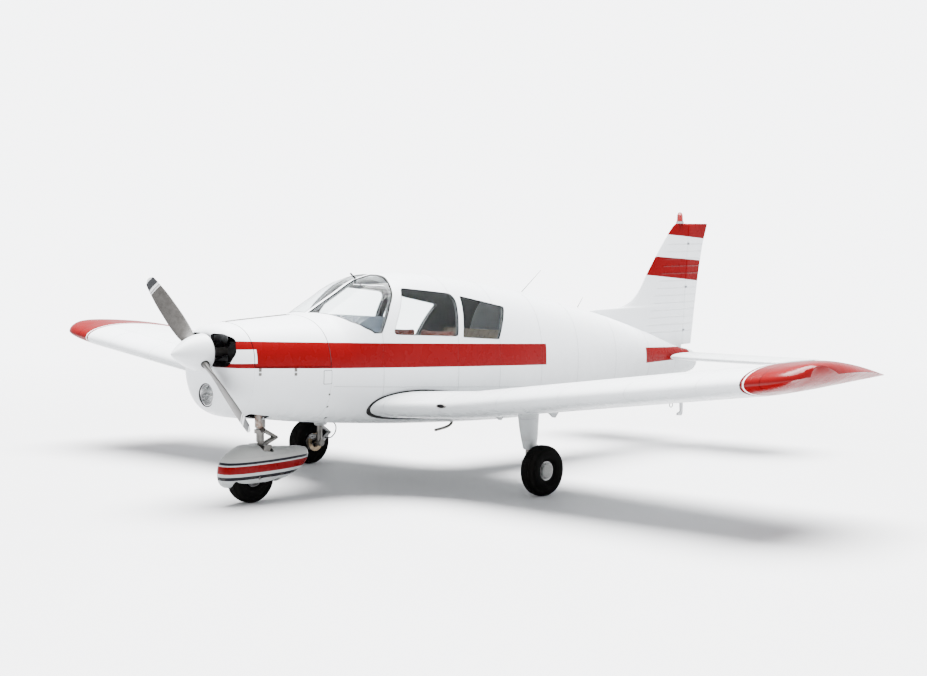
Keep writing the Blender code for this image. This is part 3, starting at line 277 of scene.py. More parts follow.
class Finish:
    """A paint, metal or cloth, with its patterns summed up in its own nodes."""

    def __init__(self, name, slot=None, rough=0.4, metal=0.0, gloss=0.5, **more):
        self.mat = bpy.data.materials.new(name)
        self.mat.use_nodes = True
        self.tree = self.mat.node_tree
        self.shader = self.tree.nodes["Principled BSDF"]
        for socket, value in {"Roughness": rough, "Metallic": metal,
                              "Specular IOR Level": gloss, **more}.items():
            self.shader.inputs[socket.replace("_", " ")].default_value = value
        self.place = self.node("TexCoord").outputs["Object"]
        split = self.node("SeparateXYZ")
        self.tree.links.new(self.place, split.inputs[0])
        self.x, self.y, self.z = (Value(self, socket) for socket in split.outputs)
        self.y -= NOSE_AXLE

    def node(self, kind, **inputs):
        node = self.tree.nodes.new("ShaderNode" + kind)
        for name, value in inputs.items():
            self.put(node.inputs[name.replace("_", " ")], value)
        return node

    def put(self, socket, value):
        if isinstance(value, Value):
            self.tree.links.new(value.socket, socket)
        elif isinstance(value, bpy.types.NodeSocket):
            self.tree.links.new(value, socket)
        elif isinstance(value, tuple) and len(value) == 3 and socket.type == "RGBA":
            socket.default_value = value + (1.0,)
        else:
            socket.default_value = value

    def math(self, operation, *values):
        node = self.node("Math")
        node.operation = operation
        for socket, value in zip(node.inputs, values):
            self.put(socket, value)
        return Value(self, node.outputs[0])

    def far(self, *offsets):
        """Distance whose parts along two axes are given."""
        a, b = offsets
        return self.math("SQRT", a * a + b * b)

    def ramp(self, value, low, high, out_low=0.0, out_high=1.0):
        return Value(self, self.node("MapRange", Value=value, From_Min=low, From_Max=high,
                                     To_Min=out_low, To_Max=out_high).outputs[0])

    def above(self, value, limit, soft=0.0008):
        return self.ramp(value - limit, -soft, soft)

    def between(self, value, low, high, soft=0.0008):
        return self.above(value, low, soft) * (1.0 - self.above(value, high, soft))

    def either(self, *masks):
        out = masks[0]
        for mask in masks[1:]:
            out = self.math("MAXIMUM", out, mask)
        return out

    def sloped(self, value, along, start, at_start, slope):
        """value measured from a line that starts at_start and climbs with slope."""
        return value - self.math("MULTIPLY_ADD", along - start, slope, at_start)

    def line(self, value, at, half):
        return self.ramp(abs(value - at), half, 0.3 * half)

    def rivets(self, across, along, pitch, radius):
        """Round heads at a fixed pitch along a line."""
        step = (self.math("FRACT", along / pitch) - 0.5) * pitch
        return self.ramp(self.far(step, across), radius, 0.55 * radius)

    def noise(self, scale, detail=3.0, rough=0.5, stretch=None):
        place = self.place
        if stretch:
            place = self.node("Mapping", Vector=place, Scale=stretch).outputs[0]
        return Value(self, self.node("TexNoise", Scale=scale, Detail=detail, Roughness=rough,
                                     Vector=place).outputs["Fac"])

    def mix(self, mask, a, b):
        node = self.node("Mix")
        node.data_type = "RGBA"
        for socket, value in ((0, mask), (6, a), (7, b)):
            self.put(node.inputs[socket], value)
        return node.outputs[2]

    def bump(self, height, distance, strength=1.0, on=None):
        node = self.node("Bump", Strength=strength, Distance=distance, Height=height)
        if on is not None:
            self.put(node.inputs["Normal"], on)
        return node.outputs[0]

    def done(self, colour, rough=None, normal=None):
        for socket, value in (("Base Color", colour), ("Roughness", rough), ("Normal", normal)):
            if value is not None:
                self.put(self.shader.inputs[socket], value)
        return self.mat


# The paint: white gloss all over the sheet metal, with a red band along the side that starts
# round the nose bowl and stops short of the tail, and a short red block at the tailplane.
# Lap seams, rivet rows, faint oil-canning and dirt streaks on the belly show through it, and a
# painted shade greys the white lower down.
WHITE = (0.690, 0.712, 0.735)
RED = (0.124, 0.0006, 0.0018)
DEEP_RED = (0.112, 0.0005, 0.0015)
GRIME = (0.22, 0.195, 0.155)
BAND_TOP = (-0.14, 1.368, -0.0510)
BAND_FOOT = (-0.14, 1.152, -0.0454)
BAND_END = 3.175
SLOT_END = -0.245
EDGE = 0.0008
LAP_SEAMS = (1.00, 1.91, 2.47, 3.10, 3.72, 4.42, 5.08, 5.62)


def white_finish(paint, extra_dark=None, dents=None):
    """White gloss with cloudiness, grime streaks and a painted shade toward the underside, and gentle
    waves in the sheet.
    """
    cloud = paint.ramp(paint.noise(1.6, 3.0), 0.35, 0.75, 0.0, 0.22)
    colour = paint.mix(cloud, WHITE, (0.60, 0.62, 0.64))
    streaks = paint.ramp(paint.noise(5.0, 5.0, 0.6, (1.0, 0.16, 1.0)), 0.45, 0.85, 0.0, 0.42)
    colour = paint.mix(streaks * paint.ramp(paint.z, 0.95, 0.50), colour, GRIME)
    specks = paint.ramp(paint.noise(160.0, 2.0), 0.69, 0.76, 0.0, 0.28)
    colour = paint.mix(specks, colour, (0.45, 0.43, 0.40))
    # Painted shade: below a height of 1.16 the white greys, most at 0.66 and lower.
    shaded = paint.ramp(paint.z, 1.16, 0.66, 0.0, 0.75)
    colour = paint.mix(shaded, colour, (0.235, 0.25, 0.25))
    if extra_dark is not None:
        colour = paint.mix(extra_dark, colour, (0.08, 0.08, 0.085))
    rough = paint.ramp(paint.noise(9.0, 4.0), 0.3, 0.7, 0.24, 0.31)
    waves = paint.bump(paint.noise(2.6, 1.0), 0.010, 0.35)
    if dents is not None:
        waves = paint.bump(dents, 0.0016, 0.8, waves)
    return colour, rough, waves


def red_finish(paint, most=0.5):
    """Red with faint clouds of a deeper red."""
    return paint.mix(paint.ramp(paint.noise(7.0, 4.0), 0.3, 0.8, 0.0, most), RED, DEEP_RED)


def body_paint():
    paint = Finish("fuselage_paint", "white_paint", gloss=0.06)
    y, z = paint.y, paint.z
    band = (paint.ramp(paint.sloped(z, y, *BAND_FOOT), -EDGE, EDGE)
            * paint.ramp(paint.sloped(z, y, *BAND_TOP), EDGE, -EDGE)
            * (1.0 - paint.above(y, BAND_END)))
    inlet_slot = (paint.above(z, paint.math("MULTIPLY_ADD", y, -0.02, 1.192))
                  * (1.0 - paint.above(z, paint.math("MULTIPLY_ADD", y, -0.02, 1.304)))
                  * (1.0 - paint.above(y, SLOT_END)))
    band = band * (1.0 - inlet_slot) * paint.above(abs(paint.x), 0.10)
    tail_block = (paint.between(y, 5.015, 5.965)
                  * paint.ramp(paint.sloped(z, y, 5.015, 1.061, -0.046), EDGE, -EDGE)
                  * paint.above(z, 0.902))
    belt = paint.between(y, 0.46, CABIN_END)
    strake = paint.line(paint.sloped(z, y, 0.46, 0.972, -0.066), 0.0, 0.003) * belt
    belt_row = paint.rivets(paint.sloped(z, y, 0.46, 0.986, -0.066), y, 0.034, 0.004) * belt
    seams = paint.either(*[paint.line(y, at, 0.0035) for at in LAP_SEAMS], strake)
    heads = paint.either(*[paint.rivets(y - (at + beside), z, 0.034, 0.0042)
                           for at in LAP_SEAMS for beside in (-0.018, 0.018)], belt_row)
    behind = paint.above(y, FIREWALL)
    seams, heads = seams * behind, heads * behind
    dark = paint.either(seams, heads * 0.35) * 0.55
    colour, rough, waves = white_finish(paint, dark, heads - seams * 1.5)
    red = paint.mix(dark * 0.7, red_finish(paint, 0.2), (0.10, 0.0, 0.0))
    colour = paint.mix(paint.either(band, tail_block), colour, red)
    return paint.done(colour, rough, waves)


FUSELAGE_PAINT = body_paint()


# The cabin wears a thin lining inside: grey-beige headliner and side trim behind the skin.
# It is a close cloth glued to foam, dark below the windows.
def lining():
    cloth = Finish("cabin_lining", rough=0.85)
    weave = cloth.noise(420.0, 2.0)
    colour = cloth.mix(cloth.above(cloth.z, 1.18, 0.01), (0.022, 0.022, 0.024),
                       (0.075, 0.076, 0.078))
    colour = cloth.mix(cloth.ramp(weave, 0.3, 0.7, 0.0, 0.35), colour, (0.035, 0.035, 0.036))
    return cloth.done(colour, None, cloth.bump(weave, 0.0008, 0.5))


LINING = lining()


def paint_outside(obj, level=0.988):
    """Outer faces keep the first finish and the rest take the second."""
    for face in obj.data.polygons:
        face.material_index = 0 if body_level(face.center) > level else 1


def finish_shell(obj, inside, node, body="airframe", level=0.988):
    """Skin piece: painted outside, another finish inside, in place of one CAD node."""
    paint_outside(obj, level)
    finish_piece(obj, FUSELAGE_PAINT, inside, body=body, stands_for=[node])


# Cabin shell: sheet skin, lined, with the windshield, the side windows and the right-hand
# door cut from it. The window outlines are as seen square from the side.
WINDOW_FRONT = ([(1.115, 1.378), (1.350, 1.768), (1.975, 1.700), (1.912, 1.327)],
                [0.04, 0.05, 0.09, 0.04])
WINDOW_REAR = ([(1.976, 1.316), (2.040, 1.680), (2.625, 1.565), (2.460, 1.276)],
               [0.015, 0.02, 0.02, 0.02])
DOORWAY = [(1.050, 0.965), (1.050, 1.375), (1.308, 1.790), (2.006, 1.752), (1.940, 1.30),
           (1.940, 0.965)]
WALL = 0.035
CABIN_LEVEL = 0.985


def windshield_cutter(side, grow):
    """Half of the windshield: its outline from above, kept ahead of its outline from the side."""
    plan = grown([(0.020, 0.629), (0.195, 0.648), (0.327, 0.681), (0.439, 0.735), (0.514, 0.838),
                  (0.550, 0.945), (0.64, 1.040), (0.64, 1.45), (0.020, 1.45)], grow)
    plan = soft_corners(plan, [0.01, 0.6, 0.5, 0.16, 0.16, 0.3, 0.2, 0.001, 0.001])
    obj = extruded("windshield_cutter", [(side * x, y) for x, y in plan], 1.380, 2.0, "Z")
    rake = grown([(0.40, 1.395), (1.000, 1.395), (1.147, 1.62), (1.223, 1.711), (1.268, 1.790),
                  (1.305, 1.835), (1.375, 1.890), (1.375, 2.05), (0.40, 2.05)], grow)
    rake = soft_corners(rake, [0.001, 0.03, 0.3, 0.5, 0.4, 0.3, 0.02, 0.001, 0.001])
    return combine(obj, extruded("rake_cutter", rake, -0.8, 0.8), "INTERSECT")


def window_cutter(window, side, grow):
    outline, corners = window
    return extruded("window_cutter", soft_corners(grown(outline, grow), corners),
                    *sorted((side * 0.2, side * 0.8)))


cabin = body_solid("cabin_skin", 0.0, FIREWALL + BUTT, CABIN_END)
combine(cabin, body_solid("inside", WALL, FIREWALL + 0.03, CABIN_END + 0.05))
for side, _ in SIDES:
    combine(cabin, window_cutter(WINDOW_REAR, side, 0.0))
    combine(cabin, windshield_cutter(side, 0.0))
combine(cabin, window_cutter(WINDOW_FRONT, 1, 0.0))
combine(cabin, extruded("doorway", soft_corners(grown(DOORWAY, SEAM), 0.05), -0.8, -0.25))
finish_shell(cabin, LINING, "cabin", level=CABIN_LEVEL)

# Cabin door, over the right wing: a sheet pan with a lined inside and two strap hinges along
# its front edge. It is as thick as the wall, and its window sits in a rubber channel.
door = extruded("door_skin", soft_corners(DOORWAY, 0.05), -0.8, -0.25)
combine(door, body_solid("outside", 0.0, FIREWALL, CABIN_END), "INTERSECT")
combine(door, body_solid("inside", WALL, FIREWALL - 0.02, CABIN_END + 0.02))
combine(door, window_cutter(WINDOW_FRONT, -1, 0.0))
finish_shell(door, LINING, "cabin_door", "door_body", CABIN_LEVEL)

# Engine cowl: a moulded bowl with the air inlets, a fixed lower pan, and two doors that hinge
# up on a narrow strip along the top. The doors close on the pan and on the bowl's flange.
COWL_WALL = 0.012
HUB_Z = 1.28
LAMP_Z = 0.930
DOOR_FOOT = (1.176, 1.128)
HINGE_X = 0.024


def above_door_foot(low, high, lift=0.0):
    return extruded("above_foot", [(-0.5, DOOR_FOOT[0] + lift), (0.6, DOOR_FOOT[1] + lift),
                                   (0.6, 2.0), (-0.5, 2.0)], low, high)


def circle(radius, count, centre=(0.0, 0.0)):
    return [(centre[0] + radius * c, centre[1] + radius * s) for c, s in turns(count)]


def cowl_inside():
    dark = Finish("cowl_inside", "dark_plastic", rough=0.7, gloss=0.1)
    oily = dark.noise(14.0, 5.0, 0.6)
    return dark.done(dark.mix(dark.ramp(oily, 0.4, 0.7), (0.012, 0.012, 0.013),
                              (0.004, 0.004, 0.004)), None, dark.bump(oily, 0.002, 0.4))


def cowl_shell(name, gap):
    """Length of cowl between the bowl and the firewall, hollow, with a gap at each end."""
    shell = body_solid(name, 0.0, BOWL_SEAM + gap, FIREWALL - gap)
    return combine(shell, body_solid("inside", COWL_WALL, BOWL_SEAM - 0.02, FIREWALL + 0.02))


COWL_INSIDE = cowl_inside()
bowl = body_solid("nose_bowl", 0.0, BOWL_FRONT, BOWL_SEAM, step=0.012)
combine(bowl, body_solid("inside", COWL_WALL, BOWL_FRONT + 0.03, BOWL_SEAM + 0.02, step=0.012))
combine(bowl, extruded("shaft_hole", circle(0.125, 64, (0.0, HUB_Z)), -0.60, -0.30, "Y"))
for side, _ in SIDES:
    mouth = soft_corners([(side * 0.090, 1.168), (side * 0.285, 1.170), (side * 0.338, 1.285),
                          (side * 0.300, 1.400), (side * 0.190, 1.437), (side * 0.070, 1.437)],
                         [0.01, 0.075, 0.080, 0.085, 0.06, 0.02], 10)
    combine(bowl, extruded("inlet", mouth, -0.60, -0.30, "Y"))
combine(bowl, extruded("lamp_hole", circle(0.098, 64, (0.0, LAMP_Z)), -0.60, -0.36, "Y"))
paint_outside(bowl, 0.972)
for face in bowl.data.polygons:
    if face.normal.y < -0.6 and face.center.y < BOWL_FRONT + NOSE_AXLE + 0.004:
        face.material_index = 0
finish_piece(bowl, FUSELAGE_PAINT, COWL_INSIDE, stands_for=["cowl_nose"], angle=40)

pan = cowl_shell("cowl_pan", BUTT)
combine(pan, above_door_foot(-0.8, 0.8))
combine(pan, extruded("strut_hole", soft_corners(oblong(-0.11, 0.11, 0.04, 0.30), 0.05),
                      0.5, 0.9, "Z"))
combine(pan, extruded("exhaust_hole", soft_corners(oblong(0.150, 0.250, -0.20, 0.02), 0.035),
                      0.5, 0.85, "Z"))
finish_shell(pan, COWL_INSIDE, "cowl_lower")
strip = cowl_shell("hinge_strip", BUTT)
combine(strip, block("narrow", 0.004 - HINGE_X, HINGE_X - 0.004, -0.5, 0.6, 1.3, 2.0),
        "INTERSECT")
finish_shell(strip, COWL_INSIDE, "cowl_hinge_strip")
for side, label in SIDES:
    lid = cowl_shell("cowl_lid_" + label, SEAM)
    combine(lid, above_door_foot(*sorted((side * HINGE_X, side * 0.8)), SEAM), "INTERSECT")
    finish_shell(lid, COWL_INSIDE, "cowl_door_" + label, label + "_cowl_door")

# Tail cone: sheet wrapped in three panels over light frames, open inside, closed by a small
# moulded cap, with the tailplane's tube passing through it.
tail = body_solid("tail_skin", 0.0, CABIN_END + BUTT, TAIL_END)
combine(tail, body_solid("inside", COWL_WALL, CABIN_END - 0.05, 5.35))
finish_piece(tail, FUSELAGE_PAINT, stands_for=["tail_cone"])

# Windshield and side windows: clear acrylic sheet, the windshield in two halves, each bedded
# in a black rubber strip that stands a little proud of the skin.
GLASS_OUT = 0.003
GLASS_IN = 0.008


def clear_sheet():
    glass = Finish("acrylic", "glass", rough=0.03, IOR=1.12, Transmission_Weight=1.0)
    haze = glass.ramp(glass.noise(30.0, 4.0), 0.4, 0.7)
    return glass.done(glass.mix(haze, (0.90, 0.93, 0.93), (0.84, 0.88, 0.88)),
                      glass.ramp(glass.noise(12.0, 4.0), 0.4, 0.75, 0.01, 0.05))


def black_rubber():
    rubber = Finish("black_rubber", "dark_plastic", rough=0.6, gloss=0.15)
    grain = rubber.noise(300.0, 3.0)
    return rubber.done(rubber.mix(grain, (0.004, 0.004, 0.004), (0.009, 0.009, 0.009)), None,
                       rubber.bump(grain, 0.0006, 0.4))


ACRYLIC = clear_sheet()
RUBBER = black_rubber()


def shell_between(cutter, outer, inner):
    """The part of a cutter that lies between two depths below the skin."""
    combine(cutter, body_solid("outer", outer, FIREWALL - 0.06, CABIN_END + 0.1), "INTERSECT")
    combine(cutter, body_solid("inner", inner, FIREWALL - 0.08, CABIN_END + 0.12))


PANES = (("window_front_left", "airframe", window_cutter, (WINDOW_FRONT, 1)),
         ("door_window", "door_body", window_cutter, (WINDOW_FRONT, -1)),
         ("window_rear_left", "airframe", window_cutter, (WINDOW_REAR, 1)),
         ("window_rear_right", "airframe", window_cutter, (WINDOW_REAR, -1)),
         ("windshield_left", "airframe", windshield_cutter, (1,)),
         ("windshield_right", "airframe", windshield_cutter, (-1,)))
for node, body, cutter, window in PANES:
    pane = cutter(*window, -0.0006)
    pane.name = node + "_pane"
    shell_between(pane, GLASS_OUT, GLASS_IN)
    finish_piece(pane, ACRYLIC, body=body, stands_for=[node])
    wide = 0.0015 if "windshield" in node else 0.0008
    seal = cutter(*window, wide)
    seal.name = node + "_seal"
    combine(seal, cutter(*window, -2.4 * wide))
    shell_between(seal, -0.0010, 0.010)
    finish_piece(seal, RUBBER, body=body)

# Propeller: one forging in aluminium alloy, painted grey, with white, black and grey bands at
# the tips. Both blades pass through rubber-edged holes in a painted sheet spinner.
PROP_STATION = -0.530
PROP_RADIUS = 0.885
HUB_BACK = PROP_STATION + 0.055
BLADE_TURN = math.radians(138.5)
BLADE_TURNS = ((BLADE_TURN, "low"), (BLADE_TURN + math.pi, "high"))
BLADE_FRAMES = [
    # radius, chord, thickness, twist in degrees
    (-0.05, 0.070, 0.068, 60), (0.06, 0.075, 0.066, 58), (0.14, 0.100, 0.050, 50),
    (0.25, 0.135, 0.030, 40), (0.40, 0.150, 0.022, 31), (0.60, 0.145, 0.016, 24),
    (0.77, 0.120, 0.011, 19), (0.86, 0.095, 0.008, 17), (PROP_RADIUS, 0.055, 0.006, 16)]
ROUNDED_FROM = 0.84


def blade_section(r, grow=0.0):
    chord, thick, twist = faired(BLADE_FRAMES, r)
    if r > ROUNDED_FROM:
        chord = min(chord, 2 * math.sqrt(max(1.0 - ((r - ROUNDED_FROM) / 0.047) ** 2, 0.02)) * 0.052)
    a = math.radians(twist)
    ring = []
    for c, s in turns(28):
        u = (0.5 * chord + grow) * c
        v = (0.5 * thick + grow) * s * (1.0 + 0.25 * c)
        ring.append(Vector((r, v * math.cos(a) - u * math.sin(a),
                            u * math.cos(a) + v * math.sin(a))))
    return ring


def blade_solid(name, turn, start, stop, grow=0.0, count=40):
    spin = Matrix.Rotation(-turn, 4, "Y")
    middle = Vector((0.0, PROP_STATION + NOSE_AXLE, HUB_Z))
    radii = [start + (stop - start) * k / count for k in range(count + 1)]
    return lofted(name, [[spin @ p + middle for p in blade_section(r, grow)] for r in radii])


def round_axis(along, radius, c, s, centre, axis):
    """Point at a radius round an axis through the centre."""
    c, s = radius * c, radius * s
    p = {"X": (along, c, s), "Y": (c, along, s), "Z": (c, s, along)}[axis]
    return p[0] + centre[0], p[1] + centre[1] + NOSE_AXLE, p[2] + centre[2]


def spun(name, profile, centre, count=64, axis="Y"):
    """Solid of revolution: profile of (along the axis, radius), closed by its two end points."""
    return lofted(name, [[round_axis(a, max(r, 1e-4), c, s, centre, axis) for c, s in turns(count)]
                         for a, r in profile])


def blade_paint():
    paint = Finish("blade_paint", "grey_paint", rough=0.38, gloss=0.25)
    r = paint.far(paint.x, paint.z - HUB_Z)
    worn = paint.noise(26.0, 5.0, 0.65)
    colour = paint.mix(paint.ramp(worn, 0.35, 0.7), (0.040, 0.0375, 0.035),
                       (0.056, 0.053, 0.050))
    colour = paint.mix(paint.above(r, 0.745), colour, (0.50, 0.51, 0.52))
    colour = paint.mix(paint.between(r, 0.757, 0.764), colour, (0.012, 0.012, 0.013))
    colour = paint.mix(paint.between(r, 0.790, 0.862), colour, (0.022, 0.023, 0.025))
    chips = paint.ramp(paint.noise(90.0, 4.0, 0.7), 0.66, 0.72, 0.0, 0.7)
    colour = paint.mix(chips * paint.ramp(r, 0.35, 0.85), colour, (0.22, 0.22, 0.22))
    return paint.done(colour, paint.ramp(worn, 0.3, 0.7, 0.30, 0.48),
                      paint.bump(worn, 0.0012, 0.4))


def bare_metal(name, slot, colour, rough, scratch=0.3):
    metal = Finish(name, slot, rough=rough, metal=1.0)
    marks = metal.noise(130.0, 5.0, 0.7)
    grime = metal.noise(17.0, 5.0, 0.6)
    dull = tuple(c * 0.45 for c in colour)
    tone = metal.mix(metal.ramp(grime, 0.45, 0.75, 0.0, scratch), colour, dull)
    return metal.done(tone, metal.ramp(marks, 0.3, 0.7, rough - 0.06, rough + 0.10),
                      metal.bump(marks, 0.0004, 0.5))


BLADE_PAINT = blade_paint()
STEEL = bare_metal("worn_steel", "steel", (0.125, 0.120, 0.112), 0.42, 0.6)
ALLOY = bare_metal("cast_alloy", "alloy", (0.22, 0.22, 0.218), 0.44, 0.5)
CHROME = bare_metal("polished_steel", "alloy", (0.55, 0.55, 0.56), 0.14, 0.1)
hub_centre = (0.0, 0.0, HUB_Z)
hub = spun("propeller_forging", [(PROP_STATION - 0.044, 0.0), (PROP_STATION - 0.044, 0.052),
                                 (PROP_STATION - 0.038, 0.058), (PROP_STATION + 0.050, 0.058),
                                 (PROP_STATION + 0.054, 0.054), (PROP_STATION + 0.054, 0.035),
                                 (-0.06, 0.035), (-0.06, 0.0)], hub_centre, 48)
for turn, _ in BLADE_TURNS:
    combine(hub, blade_solid("blade", turn, -0.05, PROP_RADIUS), "UNION")
finish_piece(hub, BLADE_PAINT, body="propeller_assembly", stands_for=["propeller"], angle=35)


def spinner_paint():
    paint = Finish("spinner_paint", "white_paint", gloss=0.18)
    colour, rough, waves = white_finish(paint)
    nicks = paint.ramp(paint.noise(240.0, 3.0, 0.7), 0.68, 0.74, 0.0, 0.5)
    # Painted shade: this white is greyed by 42 % all over, on the spinner and on every fitting that
    # wears it.
    colour = paint.mix(0.42, colour, (0.36, 0.37, 0.375))
    colour = paint.mix(nicks, colour, (0.25, 0.25, 0.25))
    return paint.done(colour, rough, waves)


SPINNER_PAINT = spinner_paint()
SPINNER_TIP = -0.800
SPINNER_RADIUS = 0.154
dome = [(SPINNER_TIP, 0.0)]
for k in range(1, 33):
    t = k / 32
    dome.append((SPINNER_TIP + (HUB_BACK - SPINNER_TIP) * t,
                 SPINNER_RADIUS * math.sin(math.pi / 2 * t) ** 0.85))
spinner = spun("spinner_shell", dome + [(HUB_BACK, 0.0585), (PROP_STATION - 0.0445, 0.0585),
                                        (PROP_STATION - 0.0445, 0.0)], hub_centre, 72)
for turn, _ in BLADE_TURNS:
    combine(spinner, blade_solid("blade_room", turn, -0.05, 0.30, 0.006, 24))
finish_piece(spinner, SPINNER_PAINT, body="propeller_assembly", stands_for=["spinner"])
# Painted shade: a near-black disc just behind the spinner darkens the gap between spinner and nose
# bowl.
plate = spun("spinner_backplate", [(-0.474, 0.062), (-0.474, 0.150), (-0.470, 0.1535),
                                   (-0.4655, 0.150), (-0.4655, 0.062)], hub_centre, 72)
finish_piece(plate, COWL_INSIDE, body="propeller_assembly")
for turn, label in BLADE_TURNS:
    boot = blade_solid("blade_boot_" + label, turn, 0.100, 0.170, 0.010, 24)
    combine(boot, blade_solid("blade_room", turn, 0.05, 0.20, 0.0006, 20))
    combine(boot, spun("shell_room", dome + [(HUB_BACK, 0.0)], hub_centre, 72), "INTERSECT")
    finish_piece(boot, RUBBER, body="propeller_assembly")

# Wings: flat-sided sheet metal with a constant chord, bent up from the kink outboard, and a
# swept-forward root glove. Skins are riveted to the ribs and spars, and the flaps and ailerons
# have sheet skins with stamped beads running fore and aft.
WING_NOSE = 1.164
WING_CHORD = 1.60
WING_EDGE = WING_NOSE + WING_CHORD
WING_HEIGHT = 0.779
GLOVE_ROOT = 0.57
KINK = 1.07
DIHEDRAL = math.tan(math.radians(7.0))
TIP_SEAM = 4.11
HALF_SPAN = 4.60
WING_THICKNESS = 0.147
SHEET_EDGE = 0.0025
HINGE_STATION = WING_EDGE - 0.30
FLAP_SPAN = (0.66, 2.115)
AILERON_SPAN = (2.145, 3.98)
FOIL_STEPS = [0.5 - 0.5 * math.cos(math.pi * i / 34) for i in range(35)]


def foil_half(s):
    return 5.0 * (0.2969 * math.sqrt(s) - 0.1260 * s - 0.3516 * s * s
                  + 0.2843 * s ** 3 - 0.1036 * s ** 4)


def wing_edges(x):
    """Leading edge station and height, and trailing edge height."""
    z = WING_HEIGHT + (x - KINK) * DIHEDRAL
    edge_z = z - (0.120 - 0.075 * max(x - KINK, 0.0) / (TIP_SEAM - KINK))
    t = max(KINK - x, 0.0) / (KINK - GLOVE_ROOT)
    return WING_NOSE - 0.2465 * t, z + 0.055 * t, edge_z


def wing_camber(x, y):
    nose, z, edge_z = wing_edges(x)
    s = (y - nose) / (WING_EDGE - nose)
    return z + (edge_z - z) * s + 0.020 * 4 * s * (1 - s) * (WING_EDGE - nose)


def wing_depth(x, y):
    nose = wing_edges(x)[0]
    s = min(max((y - nose) / (WING_EDGE - nose), 0.0), 1.0)
    return max(foil_half(s) * WING_THICKNESS * WING_CHORD, SHEET_EDGE)


def wing_under(x, y):
    return wing_camber(x, y) - wing_depth(x, y)


def foil_ring(x, nose, edge, top_and_foot):
    """Section from nose over the top to the edge and back, heights given at each step."""
    upper, under = [], []
    for s in FOIL_STEPS:
        y = nose + (edge - nose) * s
        top, foot = top_and_foot(s, y)
        upper.append((x, y + NOSE_AXLE, top))
        if s > 0.0:
            under.append((x, y + NOSE_AXLE, foot))
    return upper + under[::-1]


def wing_section(x, drop=0.0):
    def heights(s, y):
        h = max(foil_half(s) * WING_THICKNESS * WING_CHORD, SHEET_EDGE if s > 0.5 else 0.0)
        m = wing_camber(x, y) - drop
        return m + h, m - h
    return foil_ring(x, wing_edges(x)[0], WING_EDGE, heights)


def mirrored(ring, side):
    return [(side * p[0], p[1], p[2]) for p in ring]


def hinge_height(x, span):
    a, b = wing_camber(span[0], HINGE_STATION), wing_camber(span[1], HINGE_STATION)
    return a + (b - a) * (x - span[0]) / (span[1] - span[0])


def square_to_hinge(ring, x, span):
    middle = hinge_height(x, span)
    rise = (hinge_height(span[1], span) - hinge_height(span[0], span)) / (span[1] - span[0])
    return [(p[0] - (p[2] - middle) * rise, p[1], p[2]) for p in ring]


def hinge_arc(x, axis_y, middle, radius, steps=18):
    """Half circle ahead of a hinge, from the top round to the foot; radius at each step."""
    ring = []
    for k in range(steps + 1):
        t = math.pi / 2 + math.pi * k / steps
        r = radius(k / steps)
        ring.append((x, axis_y + r * math.cos(t) + NOSE_AXLE, middle + r * math.sin(t)))
    return ring


def moving_section(x, axis_y, middle, r, edge_y, edge_z, flats=10):
    """Section of a hinged surface: round nose about its axis, flat sides to a thin edge."""
    ring = hinge_arc(x, axis_y, middle, lambda share: r)
    flat = [(x, axis_y + (edge_y - axis_y) * k / flats + NOSE_AXLE, k / flats)
            for k in range(1, flats + 1)]
    ring += [(x, y, middle - r + (edge_z - 0.003 - middle + r) * t) for x, y, t in flat]
    return ring + [(x, y, middle + r + (edge_z + 0.003 - middle - r) * t)
                   for x, y, t in flat[::-1]]


def bay_section(x, axis_y, middle, half, edge_y, deep=0.0):
    """Room behind a spar for a hinged surface to turn in."""
    ring = hinge_arc(x, axis_y, middle,
                     lambda share: half + 0.006 + deep * max(0.0, share - 0.5) / 0.5)
    corners = ((axis_y - deep, -half - 0.012 - 2 * deep), (axis_y - deep, -0.3),
               (edge_y + 0.2, -0.3), (edge_y + 0.2, 0.3), (axis_y + 0.002, 0.3))
    return ring + [(x, y + NOSE_AXLE, middle + z) for y, z in corners]


def rod_between(name, a, b, radius, count=16):
    """Round bar from a to b, stations in the second place of each point."""
    a = Vector((a[0], a[1] + NOSE_AXLE, a[2]))
    b = Vector((b[0], b[1] + NOSE_AXLE, b[2]))
    turn = (b - a).to_track_quat("Z", "Y").to_matrix()
    ring = [turn @ Vector((radius * c, radius * s, 0.0)) for c, s in turns(count)]
    return lofted(name, [[p + a for p in ring], [p + b for p in ring]])


def bar_along(name, path, radius, count=14):
    """Round bar through several points, with mitred bends; radius may be a list."""
    points = [Vector((p[0], p[1] + NOSE_AXLE, p[2])) for p in path]
    rings = []
    for i, p in enumerate(points):
        before = (p - points[i - 1]).normalized() if i else (points[1] - p).normalized()
        after = (points[i + 1] - p).normalized() if i < len(points) - 1 else before
        way = (before + after).normalized()
        r = radius[i] if isinstance(radius, (list, tuple)) else radius
        if i == 0:
            side_way = way.orthogonal().normalized()
        else:
            side_way = (side_way - way * side_way.dot(way)).normalized()
        other = way.cross(side_way)
        rings.append([p + side_way * r * c + other * r * s for c, s in turns(count)])
    return lofted(name, rings)


def bend(points, steps=8):
    """Smooth path through points."""
    out = []
    for i in range(len(points) - 1):
        p0 = Vector(points[max(i - 1, 0)])
        p1, p2 = Vector(points[i]), Vector(points[i + 1])
        p3 = Vector(points[min(i + 2, len(points) - 1)])
        for k in range(steps):
            t = k / steps
            out.append(tuple(0.5 * (2 * p1 + (p2 - p0) * t + (2 * p0 - 5 * p1 + 4 * p2 - p3) * t * t
                                    + (3 * p1 - p0 - 3 * p2 + p3) * t ** 3)))
    out.append(tuple(points[-1]))
    return out


def merged(name, *parts):
    """One piece from several that touch or overlap."""
    pick(*parts)
    bpy.ops.object.join()
    parts[0].name = name
    parts[0].data.name = name
    return parts[0]


def riveted_white(paint, seams, heads):
    """White sheet whose seams are dark and sunk and whose rivet heads stand up a little."""
    return white_finish(paint, paint.either(seams, heads * 0.3) * 0.5, heads - seams * 1.5)


